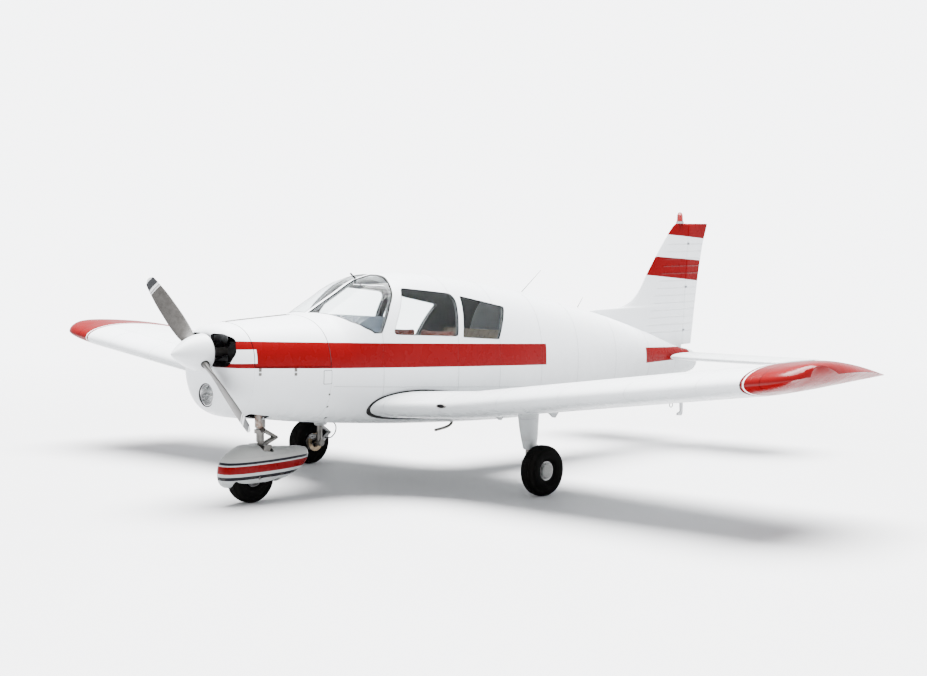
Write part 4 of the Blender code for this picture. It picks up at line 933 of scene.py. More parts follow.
def wing_paint():
    paint = Finish("wing_paint", "white_paint", gloss=0.12)
    x, y = abs(paint.x), paint.y
    panel_seams = (0.62, 1.07, 1.72, 2.38, 3.05, 3.72)
    ribs = (0.85, 1.30, 1.50, 1.94, 2.16, 2.60, 2.83, 3.28, 3.50, 3.92)
    spars = (1.44, 2.13, 2.41)
    seams = paint.either(*[paint.line(x, at, 0.0022) for at in panel_seams],
                         paint.line(y, 1.452, 0.0022))
    heads = paint.either(*[paint.rivets(x - (at + 0.014), y, 0.032, 0.0036) for at in panel_seams],
                         *[paint.rivets(x - at, y, 0.032, 0.0034) for at in ribs],
                         *[paint.rivets(y - at, x, 0.032, 0.0034) for at in spars])
    inside = paint.above(4.10 - x, 0.0)
    colour, rough, waves = riveted_white(paint, seams * inside, heads * inside)
    walkway = (paint.between(x, 0.60, 0.98) * paint.between(y, 1.30, 2.44)
               * paint.above(paint.x * -1.0, 0.0) * paint.ramp(paint.z - 0.70, -0.01, 0.01))
    grit = paint.mix(paint.noise(600.0, 2.0), (0.03, 0.03, 0.032), (0.07, 0.07, 0.072))
    colour = paint.mix(walkway, colour, grit)
    rough = paint.math("MULTIPLY_ADD", walkway, 0.55, rough)
    # Painted shade: below the middle of the wing's section the white is greyed by 42 to 62 %, mottled
    # by a soft noise.
    depth = paint.z - WING_HEIGHT - paint.math("MAXIMUM", x - KINK, 0.0) * DIHEDRAL
    underside_shade = paint.ramp(paint.noise(3.0, 5.0, 0.6), 0.3, 0.7, 0.42, 0.62)
    colour = paint.mix(underside_shade * paint.ramp(depth, 0.006, -0.026), colour, (0.27, 0.285, 0.29))
    insects = paint.ramp(paint.noise(210.0, 1.0), 0.70, 0.74) * paint.ramp(y, 1.32, 1.16)
    colour = paint.mix(insects * 0.5, colour, (0.30, 0.27, 0.22))
    return paint.done(colour, rough, waves)


WING_PAINT = wing_paint()


def beaded_paint(name, pitch, where, along_span=True, mark=None):
    """White sheet with stamped beads at a pitch along the span or upward, in part of it; the beads
    are darkened in colour as painted shade.
    """
    paint = Finish(name, "white_paint", gloss=0.06)
    value = abs(paint.x) if along_span else paint.z
    bead = paint.ramp(abs(paint.math("FRACT", value / pitch) - 0.5), 0.16, 0.0) * where(paint)
    colour, rough, waves = white_finish(paint)
    # Painted shade: each bead is darkened, by up to 16 % on the white and up to 35 % inside a red
    # mark.
    colour = paint.mix(paint.ramp(bead, 0.05, 0.6, 0.0, 0.16), colour, (0.20, 0.20, 0.21))
    if mark:
        red = paint.mix(paint.ramp(bead, 0.05, 0.6, 0.0, 0.35), red_finish(paint),
                        (0.05, 0.0, 0.0))
        colour = paint.mix(mark(paint), colour, red)
    return paint.done(colour, rough, paint.bump(bead, 0.006, 1.0, waves))


FLAP_PAINT = beaded_paint("flap_paint", 0.105, lambda p: (
    p.above(p.y, HINGE_STATION + 0.045, 0.02) * p.above(p.y * -1.0, -2.735, 0.02)))


def red_tip_paint(name, gloss):
    paint = Finish(name, "red_paint", gloss=gloss)
    x = abs(paint.x)
    worn = paint.noise(11.0, 5.0, 0.6)
    colour = paint.mix(paint.ramp(worn, 0.35, 0.75, 0.0, 0.6), RED, DEEP_RED)
    colour = paint.mix(paint.between(x, 4.135, 4.147), colour, (0.78, 0.79, 0.80))
    colour = paint.mix(paint.between(x, 4.105, 4.119, 0.0005), colour, (0.02, 0.02, 0.02))
    screws = paint.rivets(x - 4.127, paint.y, 0.060, 0.0045)
    colour = paint.mix(screws * 0.6, colour, (0.20, 0.19, 0.18))
    colour = paint.mix(paint.line(x, 4.28, 0.004) * 0.85, colour, (0.02, 0.0, 0.0))
    return paint.done(colour, paint.ramp(worn, 0.3, 0.7, 0.16, 0.30),
                      paint.bump(paint.noise(6.0, 2.0), 0.012, 0.5))


TIP_PAINT = red_tip_paint("red_tip_paint", 0.14)
TIP_UNDERSIDE = red_tip_paint("red_tip_underside", 0.015)
TIP_FRAMES = [
    # span, nose, edge, share of the depth above and below the middle
    (TIP_SEAM + BUTT, WING_NOSE, WING_EDGE, 1.0, -1.0),
    (4.32, WING_NOSE + 0.004, WING_EDGE, 0.99, -0.85),
    (4.43, WING_NOSE + 0.014, 2.520, 0.96, -0.60),
    (4.52, WING_NOSE + 0.045, 2.200, 0.90, -0.14),
    (4.575, WING_NOSE + 0.095, 1.930, 0.80, 0.26),
    (HALF_SPAN, WING_NOSE + 0.170, 1.700, 0.68, 0.60)]
TIP_SPANS = ([TIP_FRAMES[0][0]] + [4.15 + 0.03 * k for k in range(13)]
             + [4.53, 4.55, 4.575, 4.59, HALF_SPAN])
WING_SPANS = sorted({0.40, GLOVE_ROOT, KINK, TIP_SEAM} | {0.57 + 0.125 * k for k in range(1, 4)}
                    | {KINK + 0.19 * k for k in range(1, 16)})


def tip_section(x):
    nose, edge, over, below = faired(TIP_FRAMES, x)

    def heights(s, y):
        h = foil_half(s) * WING_THICKNESS * WING_CHORD
        m = wing_camber(x, y)
        top = m + max(h * over, SHEET_EDGE) if s > 0.0 else m + 0.5 * (over + below) * 0.02
        return top, min(m + h * below, top - 0.004)
    return foil_ring(x, nose, edge, heights)


for side, label in SIDES:
    wing = lofted("wing_skin_" + label, [mirrored(wing_section(x), side) for x in WING_SPANS])
    for name, span, deep in (("flap", FLAP_SPAN, 0.012), ("aileron", AILERON_SPAN, 0.0)):
        bays, sections = [], []
        inner, outer = (wing_depth(x, HINGE_STATION) for x in span)
        for half, x in ((inner, span[0] - SEAM), (outer, span[1] + SEAM)):
            bay = bay_section(x, HINGE_STATION, hinge_height(x, span), half, WING_EDGE, deep)
            bays.append(mirrored(square_to_hinge(bay, x, span), side))
        edge_a, edge_b = wing_edges(span[0])[2], wing_edges(span[1])[2]
        for k in range(15):
            t = k / 14
            x = span[0] + (span[1] - span[0]) * k / 14
            section = moving_section(x, HINGE_STATION, hinge_height(x, span),
                                     inner * (1 - t) + outer * t, WING_EDGE,
                                     edge_a + (edge_b - edge_a) * t)
            sections.append(mirrored(square_to_hinge(section, x, span), side))
        combine(wing, lofted("bay", bays))
        surface = lofted(name + "_skin_" + label, sections)
        finish_piece(surface, FLAP_PAINT, body=label + "_" + name, stands_for=[name + "_" + label])
        for a, where in ((span[0] - 0.014, "inner"), (span[1] - 0.030, "outer")):
            ends = [(side * x, HINGE_STATION, hinge_height(x, span)) for x in (a, a + 0.044)]
            combine(wing, rod_between("pin_hole", *ends, 0.0046))
            pin = rod_between("%s_pin_%s_%s" % (name, label, where), *ends, 0.004)
            finish_piece(pin, STEEL, body=label + "_" + name)
    combine(wing, body_solid("body", -BUTT, 0.3, 3.6))
    finish_piece(wing, WING_PAINT, stands_for=["wing_" + label])
    tip = lofted("tip_skin_" + label, [mirrored(tip_section(x), side) for x in TIP_SPANS])
    for face in tip.data.polygons:
        face.material_index = 1 if face.normal.z < -0.25 else 0
    finish_piece(tip, TIP_PAINT, TIP_UNDERSIDE, stands_for=["wing_tip_" + label])

# Fin and rudder: sheet skins over ribs. The rudder turns on three lug hinges, and both skins
# carry stamped beads. The fin wears a red band, and its top and the rudder's horn a red cap.
FIN_NOSE = [(0.98, 4.30), (1.440, 4.31), (1.458, 4.40), (1.466, 4.60), (1.474, 4.80),
            (1.495, 4.93), (1.552, 5.075), (1.657, 5.195), (1.782, 5.287), (1.993, 5.460),
            (2.223, 5.665), (2.300, 5.745), (2.335, 5.800)]
RUDDER_EDGE = [(1.026, 6.063), (1.714, 6.181), (2.157, 6.285), (2.300, 6.345), (2.335, 6.352)]
RUDDER_PINS = (1.20, 1.66, 2.12)
FIN_LEVELS = sorted({0.99, 1.20, 1.40, 1.440, 1.450, 1.458, 1.462, 1.466, 1.470, 1.474, 1.480,
                     1.487, 1.495, 1.51, 1.53, 1.552, 1.58, 1.62, 1.657, 1.71, 1.782}
                    | {1.782 + 0.0648 * k for k in range(1, 9)} | {2.317})


def rudder_line(z):
    return 5.883 + (z - 1.105) * 0.1004


def fin_depth(z):
    return 0.043 - 0.012 * (z - 1.0)


def rudder_edge(z):
    return faired(RUDDER_EDGE, z)[0]


def fin_section(z, share=1.0):
    nose, edge = faired(FIN_NOSE, z)[0], rudder_edge(z)
    half, line = fin_depth(z), rudder_line(z)
    right, left = [], []
    for i in range(31):
        s = 0.5 - 0.5 * math.cos(math.pi * i / 30)
        y = nose + (edge - nose) * s
        if y <= line:
            q = (y - nose) / (line - nose)
            h = half * (1.28 * math.sqrt(q) - 0.28 * q) if q > 0 else 0.0
        else:
            h = max(half * (edge - y) / (edge - line), 0.003)
        right.append((h * share, y + NOSE_AXLE, z))
        if i > 0:
            left.append((-h * share, y + NOSE_AXLE, z))
    return right + left[::-1]


def upright(ring, z):
    return [(p[2], p[1], z) for p in ring]


def rudder_section(z, share=1.0):
    return upright(moving_section(0.0, rudder_line(z), 0.0, fin_depth(z) * share,
                                  rudder_edge(z), 0.0), z)


def rudder_bay(z):
    return upright(bay_section(0.0, rudder_line(z), 0.0, fin_depth(z), rudder_edge(z)), z)


def rudder_rod(name, z, reach, radius):
    """Rod along the rudder's hinge line, reaching up and down from a height."""
    return rod_between(name, *[(0.0, rudder_line(end), end) for end in (z - reach, z + reach)],
                       radius)


def fin_marks(paint):
    y, z = paint.y, paint.z
    cap = paint.ramp(paint.sloped(z, y, 5.66, 2.218, -0.072), -EDGE, EDGE)
    return paint.either(cap, paint.ramp(paint.sloped(z, y, 5.40, 1.788, -0.088), -EDGE, EDGE)
                        * paint.ramp(paint.sloped(z, y, 5.40, 1.992, -0.066), EDGE, -EDGE))


FIN_PAINT = beaded_paint("fin_paint", 0.077, lambda p: (
    p.above(p.sloped(p.y, p.z, 1.30, 5.30, 0.45), 0.0, 0.03) * p.ramp(p.z, 1.17, 1.19)
    * p.ramp(p.z, 2.17, 2.14)), along_span=False, mark=fin_marks)
fin = lofted("fin_skin", [fin_section(z) for z in FIN_LEVELS] + [fin_section(2.328, 0.7),
                                                                 fin_section(2.335, 0.35)])
combine(fin, lofted("bay", [rudder_bay(0.80), rudder_bay(2.45)]))
for z in RUDDER_PINS:
    y = rudder_line(z)
    combine(fin, block("lug", -0.008, 0.008, y - 0.080, y + 0.010, z - 0.005, z + 0.005), "UNION")
    combine(fin, rudder_rod("pin_hole", z, 0.03, 0.0043))
combine(fin, body_solid("body", -BUTT, 3.9, TAIL_END + 0.05))
finish_piece(fin, FIN_PAINT, stands_for=["fin"])
rudder = lofted("rudder_skin", [rudder_section(1.045 + (2.300 - 1.045) * k / 16) for k in range(17)]
                + [rudder_section(2.320, 0.75), rudder_section(2.333, 0.35)])
for z in RUDDER_PINS:
    y = rudder_line(z)
    combine(rudder, block("notch", -0.06, 0.06, y - 0.08, y + 0.022, z - 0.011, z + 0.011))
    combine(rudder, rudder_rod("pin", z, 0.02, 0.004), "UNION")
finish_piece(rudder, FIN_PAINT, body="rudder_body", stands_for=["rudder"])

# Tailplane: one all-moving surface on a torque tube through the tail cone, with two
# anti-servo tabs let into its trailing edge. Small moulded tips, beaded tab skins.
TAIL_NOSE = 5.470
TAIL_CHORD = 0.76
TAIL_EDGE = TAIL_NOSE + TAIL_CHORD
TAIL_HEIGHT = 0.935
TAIL_ROOT = 0.195
TAIL_HALF = 1.525
TAIL_AXIS = 5.670
TAB_AXIS = TAIL_EDGE - 0.12
TAB_SPAN = (0.30, 1.28)
TAIL_FRAMES = ((TAIL_ROOT, 0.0, 1.0), (0.60, 0.0, 1.0), (1.00, 0.0, 1.0), (1.435, 0.0, 1.0),
               (1.465, 0.012, 0.96), (1.490, 0.040, 0.80), (1.510, 0.085, 0.58),
               (1.520, 0.130, 0.42), (TAIL_HALF, 0.18, 0.28))


def tailplane_depth(s):
    return foil_half(s) * 0.10 * TAIL_CHORD


def tailplane_section(x, cut_back, share):
    def heights(s, y):
        h = max(tailplane_depth(s), SHEET_EDGE if s > 0.5 else 0.0) * share
        return TAIL_HEIGHT + h, TAIL_HEIGHT - h
    return foil_ring(x, TAIL_NOSE + TAIL_CHORD * cut_back, TAIL_EDGE, heights)


def tailplane_paint():
    paint = Finish("tailplane_paint", "white_paint", gloss=0.12)
    x, y = abs(paint.x), paint.y
    seams = paint.either(paint.line(x, 1.435, 0.0022), paint.line(x, 0.86, 0.0018))
    heads = paint.either(*[paint.rivets(x - at, y, 0.032, 0.0034)
                           for at in (1.42, 0.31, 0.50, 0.845, 1.10)],
                         paint.rivets(y - (TAIL_AXIS + 0.02), x, 0.032, 0.0034))
    return paint.done(*riveted_white(paint, seams, heads))


TAILPLANE_PAINT = tailplane_paint()
TAB_PAINT = beaded_paint("tab_paint", 0.09, lambda p: (
    p.above(p.y, TAB_AXIS + 0.02, 0.01) * p.above(p.y * -1.0, -6.22, 0.01)))
tailplane = rod_between("tailplane", (-TAIL_ROOT - 0.05, TAIL_AXIS, TAIL_HEIGHT),
                        (TAIL_ROOT + 0.05, TAIL_AXIS, TAIL_HEIGHT), 0.0255, 32)
tab_depth = tailplane_depth((TAB_AXIS - TAIL_NOSE) / TAIL_CHORD)
for side, label in SIDES:
    half = lofted("half", [mirrored(tailplane_section(*row), side) for row in TAIL_FRAMES])
    combine(half, lofted("bay", [mirrored(bay_section(x, TAB_AXIS, TAIL_HEIGHT, tab_depth, TAIL_EDGE),
                                          side) for x in (TAB_SPAN[0] - SEAM, TAB_SPAN[1] + SEAM)]))
    tab_ribs = [TAB_SPAN[0] + (TAB_SPAN[1] - TAB_SPAN[0]) * k / 10 for k in range(11)]
    tab = lofted("tab_skin_" + label, [mirrored(moving_section(
        x, TAB_AXIS, TAIL_HEIGHT, tab_depth, TAIL_EDGE, TAIL_HEIGHT), side) for x in tab_ribs])
    for pin_span in ((TAB_SPAN[0] - 0.016, TAB_SPAN[0] + 0.02),
                     (TAB_SPAN[1] - 0.02, TAB_SPAN[1] + 0.016)):
        ends = [(side * x, TAB_AXIS, TAIL_HEIGHT) for x in pin_span]
        combine(half, rod_between("pin_hole", *ends, 0.0043))
        combine(tab, rod_between("pin", *ends, 0.004), "UNION")
    finish_piece(tab, TAB_PAINT, body=label + "_tab", stands_for=["tab_" + label])
    combine(tailplane, half, "UNION")
finish_piece(tailplane, TAILPLANE_PAINT, body="stabilator_body", stands_for=["stabilator"])
combine(tail, rod_between("tube_hole", (-0.3, TAIL_AXIS, TAIL_HEIGHT),
                          (0.3, TAIL_AXIS, TAIL_HEIGHT), 0.0265, 32))

# Wheels: cast alloy halves bolted together, grooved tyres, a pressed cap over each bearing.
# The main wheels carry a brake disc on their inner face.
TYRE_RADIUS = 0.217
TYRE_HALF = 0.0775
RIM_RADIUS = 0.082
HALF_TRACK = 1.52
AXLE_STATION = 1.955
TREAD_GROOVES = (-0.042, -0.021, 0.0, 0.021, 0.042)
SIDEWALL_RINGS = (0.168, 0.112)


def tyre_finish(name, centre):
    tyre = Finish(name, "tyre_rubber", rough=0.80, gloss=0.02)
    across = tyre.x - centre[0]
    r = tyre.far(tyre.y - centre[1], tyre.z - centre[2])
    tread = tyre.above(r, 0.192, 0.002)
    grooves = tyre.either(*[tyre.line(across, at, 0.0035) for at in TREAD_GROOVES]) * tread
    rings = tyre.either(*[tyre.line(r, at, 0.002) for at in SIDEWALL_RINGS])
    dust = tyre.noise(24.0, 5.0, 0.6)
    colour = tyre.mix(tyre.ramp(dust, 0.35, 0.75), (0.0016, 0.0016, 0.0016),
                      (0.0042, 0.0040, 0.0038))
    colour = tyre.mix(tread * tyre.ramp(dust, 0.3, 0.6, 0.2, 0.6), colour,
                      (0.0065, 0.0062, 0.0057))
    # Painted shade: the tread grooves are darker than the rubber, as well as sunk.
    colour = tyre.mix(grooves, colour, (0.0006, 0.0006, 0.0006))
    grain = tyre.bump(tyre.noise(300.0), 0.0005, 0.5)
    return tyre.done(colour, tyre.ramp(dust, 0.3, 0.7, 0.62, 0.85),
                     tyre.bump(rings * 0.35 - grooves, 0.004, 1.0, grain))


TYRE_FLANK = [(0.62, RIM_RADIUS), (0.80, 0.094), (0.93, 0.110), (0.995, 0.135), (1.0, 0.162),
              (0.96, 0.183), (0.84, 0.200), (0.62, 0.2115), (0.30, TYRE_RADIUS)]
TYRE_OUTLINE = ([(-TYRE_HALF * share, r) for share, r in TYRE_FLANK]
                + [(TYRE_HALF * share, r) for share, r in TYRE_FLANK[::-1]])


def ring_solid(name, outline, centre, count=54, axis="X"):
    """Solid of revolution round an open middle: the closed outline is (along axis, radius)."""
    points = [round_axis(a, r, c, s, centre, axis) for c, s in turns(count) for a, r in outline]
    n = len(outline)
    faces = [(i * n + k, i * n + (k + 1) % n, ((i + 1) % count) * n + (k + 1) % n,
              ((i + 1) % count) * n + k) for i in range(count) for k in range(n)]
    return solid(name, points, faces)


def cast_wheel_finish():
    metal = Finish("cast_wheel", "alloy", rough=0.45, metal=0.85)
    worn = metal.noise(60.0, 5.0, 0.7)
    grime = metal.ramp(metal.noise(15.0, 5.0, 0.6), 0.5, 0.75, 0.0, 0.5)
    tone = metal.mix(metal.ramp(worn, 0.4, 0.65), (0.40, 0.40, 0.40), (0.24, 0.24, 0.235))
    return metal.done(metal.mix(grime, tone, (0.12, 0.11, 0.10)),
                      metal.ramp(worn, 0.3, 0.7, 0.30, 0.55), metal.bump(worn, 0.001, 0.6))


def galvanised_sheet():
    zinc = Finish("galvanised_sheet", "alloy", rough=0.55, metal=0.35, gloss=0.15)
    flakes = zinc.noise(150.0, 2.0, 0.5)
    colour = zinc.mix(zinc.ramp(flakes, 0.38, 0.62), (0.115, 0.117, 0.113), (0.270, 0.272, 0.265))
    return zinc.done(colour, zinc.ramp(flakes, 0.3, 0.7, 0.42, 0.62),
                     zinc.bump(flakes, 0.0006, 0.6))


GALVANISED = galvanised_sheet()
WHEEL = cast_wheel_finish()
DISC = bare_metal("brake_disc_steel", "steel", (0.26, 0.20, 0.135), 0.42, 0.5)
NOSE_HALF = [(-0.055, 0.0168), (-0.055, 0.030), (-0.050, 0.034), (-0.026, 0.044),
             (-0.020, 0.060), (-0.030, 0.070), (-0.046, 0.074), (-0.050, 0.0812),
             (-0.044, 0.0816)]
NOSE_CASTING = NOSE_HALF + [(-a, r) for a, r in NOSE_HALF[::-1]]
MAIN_CASTING = [(-0.050, 0.0188), (-0.050, 0.060), (-0.046, 0.074), (-0.050, 0.0812),
                (-0.044, 0.0816), (0.044, 0.0816), (0.052, 0.0812), (0.050, 0.072),
                (0.040, 0.066), (0.036, 0.052), (0.040, 0.046), (0.056, 0.044),
                (0.0615, 0.038), (0.0615, 0.0188)]
BRAKE_DISC = [(-0.100, 0.048), (-0.100, 0.087), (-0.0985, 0.0885), (-0.0925, 0.0885),
              (-0.091, 0.087), (-0.091, 0.056), (-0.052, 0.056), (-0.052, 0.048)]
HUB_CAP = [(0.0618, 0.0), (0.0618, 0.0625), (0.0635, 0.0640), (0.0655, 0.0630),
           (0.0664, 0.0600), (0.0668, 0.0200), (0.0668, 0.0)]
BOLT_CIRCLE = 0.059


def handed(outline, side):
    return [(side * a, r) for a, r in outline]


for label, side, y in (("left", 1, AXLE_STATION), ("right", -1, AXLE_STATION), ("nose", 0, 0.0)):
    centre = (side * HALF_TRACK, y, TYRE_RADIUS)
    body = label + "_wheel"
    tyre = ring_solid("tyre_body_" + label, TYRE_OUTLINE, centre)
    finish_piece(tyre, tyre_finish("tyre_rubber_" + label, centre), body=body,
                 stands_for=["tyre_" + label], angle=60)
    casting = handed(MAIN_CASTING, side) if side else NOSE_CASTING
    wheel = ring_solid("wheel_casting_" + label, casting, centre, 72)
    if side:
        disc = ring_solid("brake_disc_" + label, handed(BRAKE_DISC, side), centre, 72)
        finish_piece(disc, DISC, body=body, angle=40)
        cap = spun("hub_cap_" + label, handed(HUB_CAP, side), centre, 64, "X")
        finish_piece(cap, GALVANISED, body=body, angle=40)
        bolts = []
        for c, s in turns(6, 0.5):
            ends = [(centre[0] + side * a, y + BOLT_CIRCLE * c, TYRE_RADIUS + BOLT_CIRCLE * s)
                    for a in (0.034, 0.046)]
            bolts.append(rod_between("bolt", *ends, 0.0055, 6))
        finish_piece(merged("wheel_bolts_" + label, *bolts), STEEL, body=body)
    finish_piece(wheel, WHEEL, body=body, stands_for=["wheel_" + label], angle=40)

# Main legs: a sprung steel tube in a cuff of painted sheet under each wing, with hinged
# torque links behind it, a brake calliper and the hose that feeds it.
LEG_SPAN = 1.365
CUFF_TOP = wing_under(LEG_SPAN - 0.07, AXLE_STATION) + 0.06
CUFF_FRAMES = [
    # shift, height, chord, thickness
    (0.005, 0.385, 0.130, 0.066), (0.0, 0.388, 0.137, 0.078), (0.0, 0.400, 0.150, 0.085),
    (-0.004, 0.48, 0.185, 0.099), (-0.010, 0.56, 0.210, 0.110), (-0.012, 0.62, 0.225, 0.115),
    (-0.014, 0.68, 0.240, 0.118), (-0.015, CUFF_TOP, 0.245, 0.12)]


def cuff_section(side, shift, z, chord, thick):
    y = AXLE_STATION + 0.020 + shift
    return [(side * (LEG_SPAN + thick / 2 * s * (1.0 - 0.25 * c)), y + chord / 2 * c + NOSE_AXLE, z)
            for c, s in turns(40)]


def muddy(paint, colour, mud, most):
    return paint.mix(mud * most, colour, GRIME)


def cuff_paint():
    paint = Finish("cuff_paint", "white_paint", gloss=0.10)
    seam = paint.either(paint.line(paint.z, 0.470, 0.0012), paint.line(paint.z, 0.652, 0.0016))
    heads = paint.rivets(paint.z - 0.664, paint.y, 0.030, 0.0034)
    colour, rough, waves = white_finish(paint, paint.either(seam, heads * 0.4) * 0.55,
                                        heads - seam)
    mud = paint.ramp(paint.noise(12.0, 6.0, 0.7), 0.45, 0.7) * paint.ramp(paint.z, 0.60, 0.38)
    return paint.done(muddy(paint, colour, mud, 0.35), rough, waves)


def leg_point(side, inboard, aft, z):
    """Point beside a main leg, from its foot's middle."""
    return side * (LEG_SPAN - inboard), AXLE_STATION + aft, z


def from_axle(points):
    return [(AXLE_STATION + y, z) for y, z in points]


CALLIPER = soft_corners(from_axle([(-0.100, 0.262), (-0.045, 0.262), (-0.030, 0.250),
                                   (0.010, 0.262), (0.010, 0.300), (-0.100, 0.300)]), 0.008)
LOWER_LINK = soft_corners(from_axle([(0.020, 0.205), (0.128, 0.300), (0.128, 0.318),
                                     (0.020, 0.240)]), 0.006)
UPPER_LINK = soft_corners(from_axle([(0.024, 0.395), (0.130, 0.318), (0.130, 0.300),
                                     (0.024, 0.365)]), 0.006)
HOSE_ROUTE = ((0.028, 0.052, 0.262), (0.034, 0.120, 0.262), (0.038, 0.172, 0.310),
              (0.038, 0.176, 0.375), (0.036, 0.120, 0.425), (0.030, 0.050, 0.440))
CUFF_PAINT = cuff_paint()
for side, label in SIDES:
    cuff = lofted("leg_cuff_" + label, [cuff_section(side, *row) for row in CUFF_FRAMES])
    combine(cuff, lofted("wing_room", [mirrored(wing_section(x, BUTT), side)
                                       for x in (GLOVE_ROOT, KINK, TIP_SEAM)]))
    combine(cuff, rod_between("leg_room", leg_point(side, 0, 0, 0.30), leg_point(side, 0, 0, 0.55),
                              0.0284, 32))
    finish_piece(cuff, CUFF_PAINT, stands_for=["leg_fairing_" + label])
    leg = rod_between("leg_tube_" + label, leg_point(side, 0, 0, 0.19),
                      leg_point(side, 0, 0, 0.5450), 0.0275, 40)
    combine(leg, rod_between("axle", leg_point(side, 0.035, 0, TYRE_RADIUS),
                             (side * (HALF_TRACK + 0.0606), AXLE_STATION, TYRE_RADIUS),
                             0.0176, 32), "UNION")
    combine(leg, rod_between("clamp", leg_point(side, -0.036, 0, TYRE_RADIUS),
                             leg_point(side, 0.038, 0, TYRE_RADIUS), 0.033, 32), "UNION")
    finish_piece(leg, STEEL, stands_for=["main_leg_" + label], angle=40)
    parts = [extruded("calliper", CALLIPER,
                      *sorted((side * (HALF_TRACK - 0.116), side * (LEG_SPAN + 0.01))))]
    for aft in (-0.078, -0.052):
        parts.append(rod_between("bolt", leg_point(side, -0.011, aft, 0.281),
                                 leg_point(side, 0.004, aft, 0.281), 0.007, 6))
    finish_piece(merged("brake_calliper_" + label, *parts), ALLOY, angle=40)
    links = []
    for x in (side * LEG_SPAN - 0.016, side * LEG_SPAN + 0.016):
        for outline, half in ((LOWER_LINK, 0.004), (UPPER_LINK, 0.0035)):
            links.append(extruded("link", outline, x - half, x + half))
    links.append(rod_between("pin", (side * LEG_SPAN - 0.026, AXLE_STATION + 0.124, 0.309),
                             (side * LEG_SPAN + 0.026, AXLE_STATION + 0.124, 0.309), 0.008, 20))
    finish_piece(merged("torque_links_" + label, *links), ALLOY)
    hose = bar_along("brake_hose_" + label, bend([leg_point(side, *p) for p in HOSE_ROUTE], 6),
                     0.0060, 12)
    finish_piece(hose, RUBBER)

# Nose gear: a steered fork on a sprung tube, with a moulded wheel fairing in white that wears
# a red stripe between two thin black ones.
STEER_STATION = 0.110
FAIRING_FRAMES = [
    # station, middle height, half width, half height
    (-0.312, 0.250, 0.022, 0.028), (-0.309, 0.251, 0.040, 0.050), (-0.300, 0.255, 0.062, 0.078),
    (-0.266, 0.268, 0.096, 0.118), (-0.190, 0.290, 0.128, 0.152), (-0.060, 0.312, 0.146, 0.178),
    (0.080, 0.308, 0.148, 0.172), (0.240, 0.304, 0.138, 0.150), (0.400, 0.318, 0.110, 0.122),
    (0.520, 0.338, 0.078, 0.092), (0.590, 0.354, 0.046, 0.062), (0.611, 0.359, 0.028, 0.040),
    (0.615, 0.360, 0.018, 0.026)]
FAIRING_STATIONS = ([-0.312, -0.3105, -0.309, -0.305, -0.300, -0.29, -0.28]
                    + [-0.266 + 0.0305 * k for k in range(28)]
                    + [0.575, 0.59, 0.601, 0.611, 0.615])


def fairing_ring(y, inset=0.0):
    zc, w, h = faired(FAIRING_FRAMES, y)
    return [((w - inset) * math.copysign(abs(c) ** 0.85, c), y + NOSE_AXLE,
             zc + (h - inset) * math.copysign(abs(s) ** 0.85, s)) for c, s in turns(64)]


def fairing_paint():
    paint = Finish("fairing_paint", "white_paint", gloss=0.06)
    y, z = paint.y, paint.z
    off = z - paint.math("MULTIPLY_ADD", y, 0.005, 0.298)
    seam = paint.line(off, 0.098, 0.0012)
    heads = paint.rivets(off - 0.108, y, 0.055, 0.0036)
    colour, rough, waves = white_finish(paint, paint.either(seam, heads * 0.6) * 0.6,
                                        heads - seam)
    red = paint.mix(paint.noise(7.0, 4.0), RED, DEEP_RED)
    colour = paint.mix(paint.between(off, -0.031, 0.031), colour, red)
    # Painted shade: above the upper black stripe the fairing's white is greyed by 72 %.
    colour = paint.mix(paint.ramp(off, 0.055, 0.062, 0.0, 0.72), colour, (0.27, 0.268, 0.255))
    black = paint.either(paint.between(off, 0.042, 0.062), paint.between(off, -0.084, -0.056))
    colour = paint.mix(black, colour, (0.006, 0.006, 0.009))
    mud = paint.ramp(paint.noise(16.0, 6.0, 0.7), 0.48, 0.72) * paint.ramp(z, 0.30, 0.14)
    return paint.done(muddy(paint, colour, mud, 0.45), rough, waves)


fairing = lofted("wheel_fairing", [fairing_ring(y) for y in sorted(FAIRING_STATIONS)])
combine(fairing, lofted("inside", [fairing_ring(-0.258 + 0.0327 * k, 0.008) for k in range(25)]))
combine(fairing, extruded("wheel_hole", soft_corners(oblong(-0.105, 0.105, -0.245, 0.245), 0.03),
                          0.02, 0.205, "Z"))
combine(fairing, rod_between("axle_hole", (-0.3, 0.0, TYRE_RADIUS), (0.3, 0.0, TYRE_RADIUS),
                             0.0168, 32))
combine(fairing, extruded("leg_hole", soft_corners(
    oblong(-0.115, 0.115, STEER_STATION - 0.06, STEER_STATION + 0.06), 0.02), 0.35, 0.7, "Z"))
finish_piece(fairing, fairing_paint(), body="nose_steering", stands_for=["nose_fairing"], angle=40)


def refinish(finish, *nodes):
    """CAD nodes that stay, in a finish of their own."""
    for node in nodes:
        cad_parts[node].data.materials[0] = finish


refinish(STEEL, "nose_leg", "nose_fork")


# Engine: seen through the air inlets only. The two front cylinders have cooling fins turned
# from one casting, and a bent aluminium baffle closes the space round them.
def cast_iron():
    iron = Finish("cast_iron", "iron", rough=0.6, metal=0.6, gloss=0.2)
    grain = iron.noise(220.0, 4.0, 0.6)
    oil = iron.noise(12.0, 4.0)
    colour = iron.mix(iron.ramp(oil, 0.4, 0.7), (0.075, 0.075, 0.078), (0.025, 0.023, 0.021))
    return iron.done(colour, iron.ramp(oil, 0.3, 0.7, 0.45, 0.75), iron.bump(grain, 0.0012, 0.7))


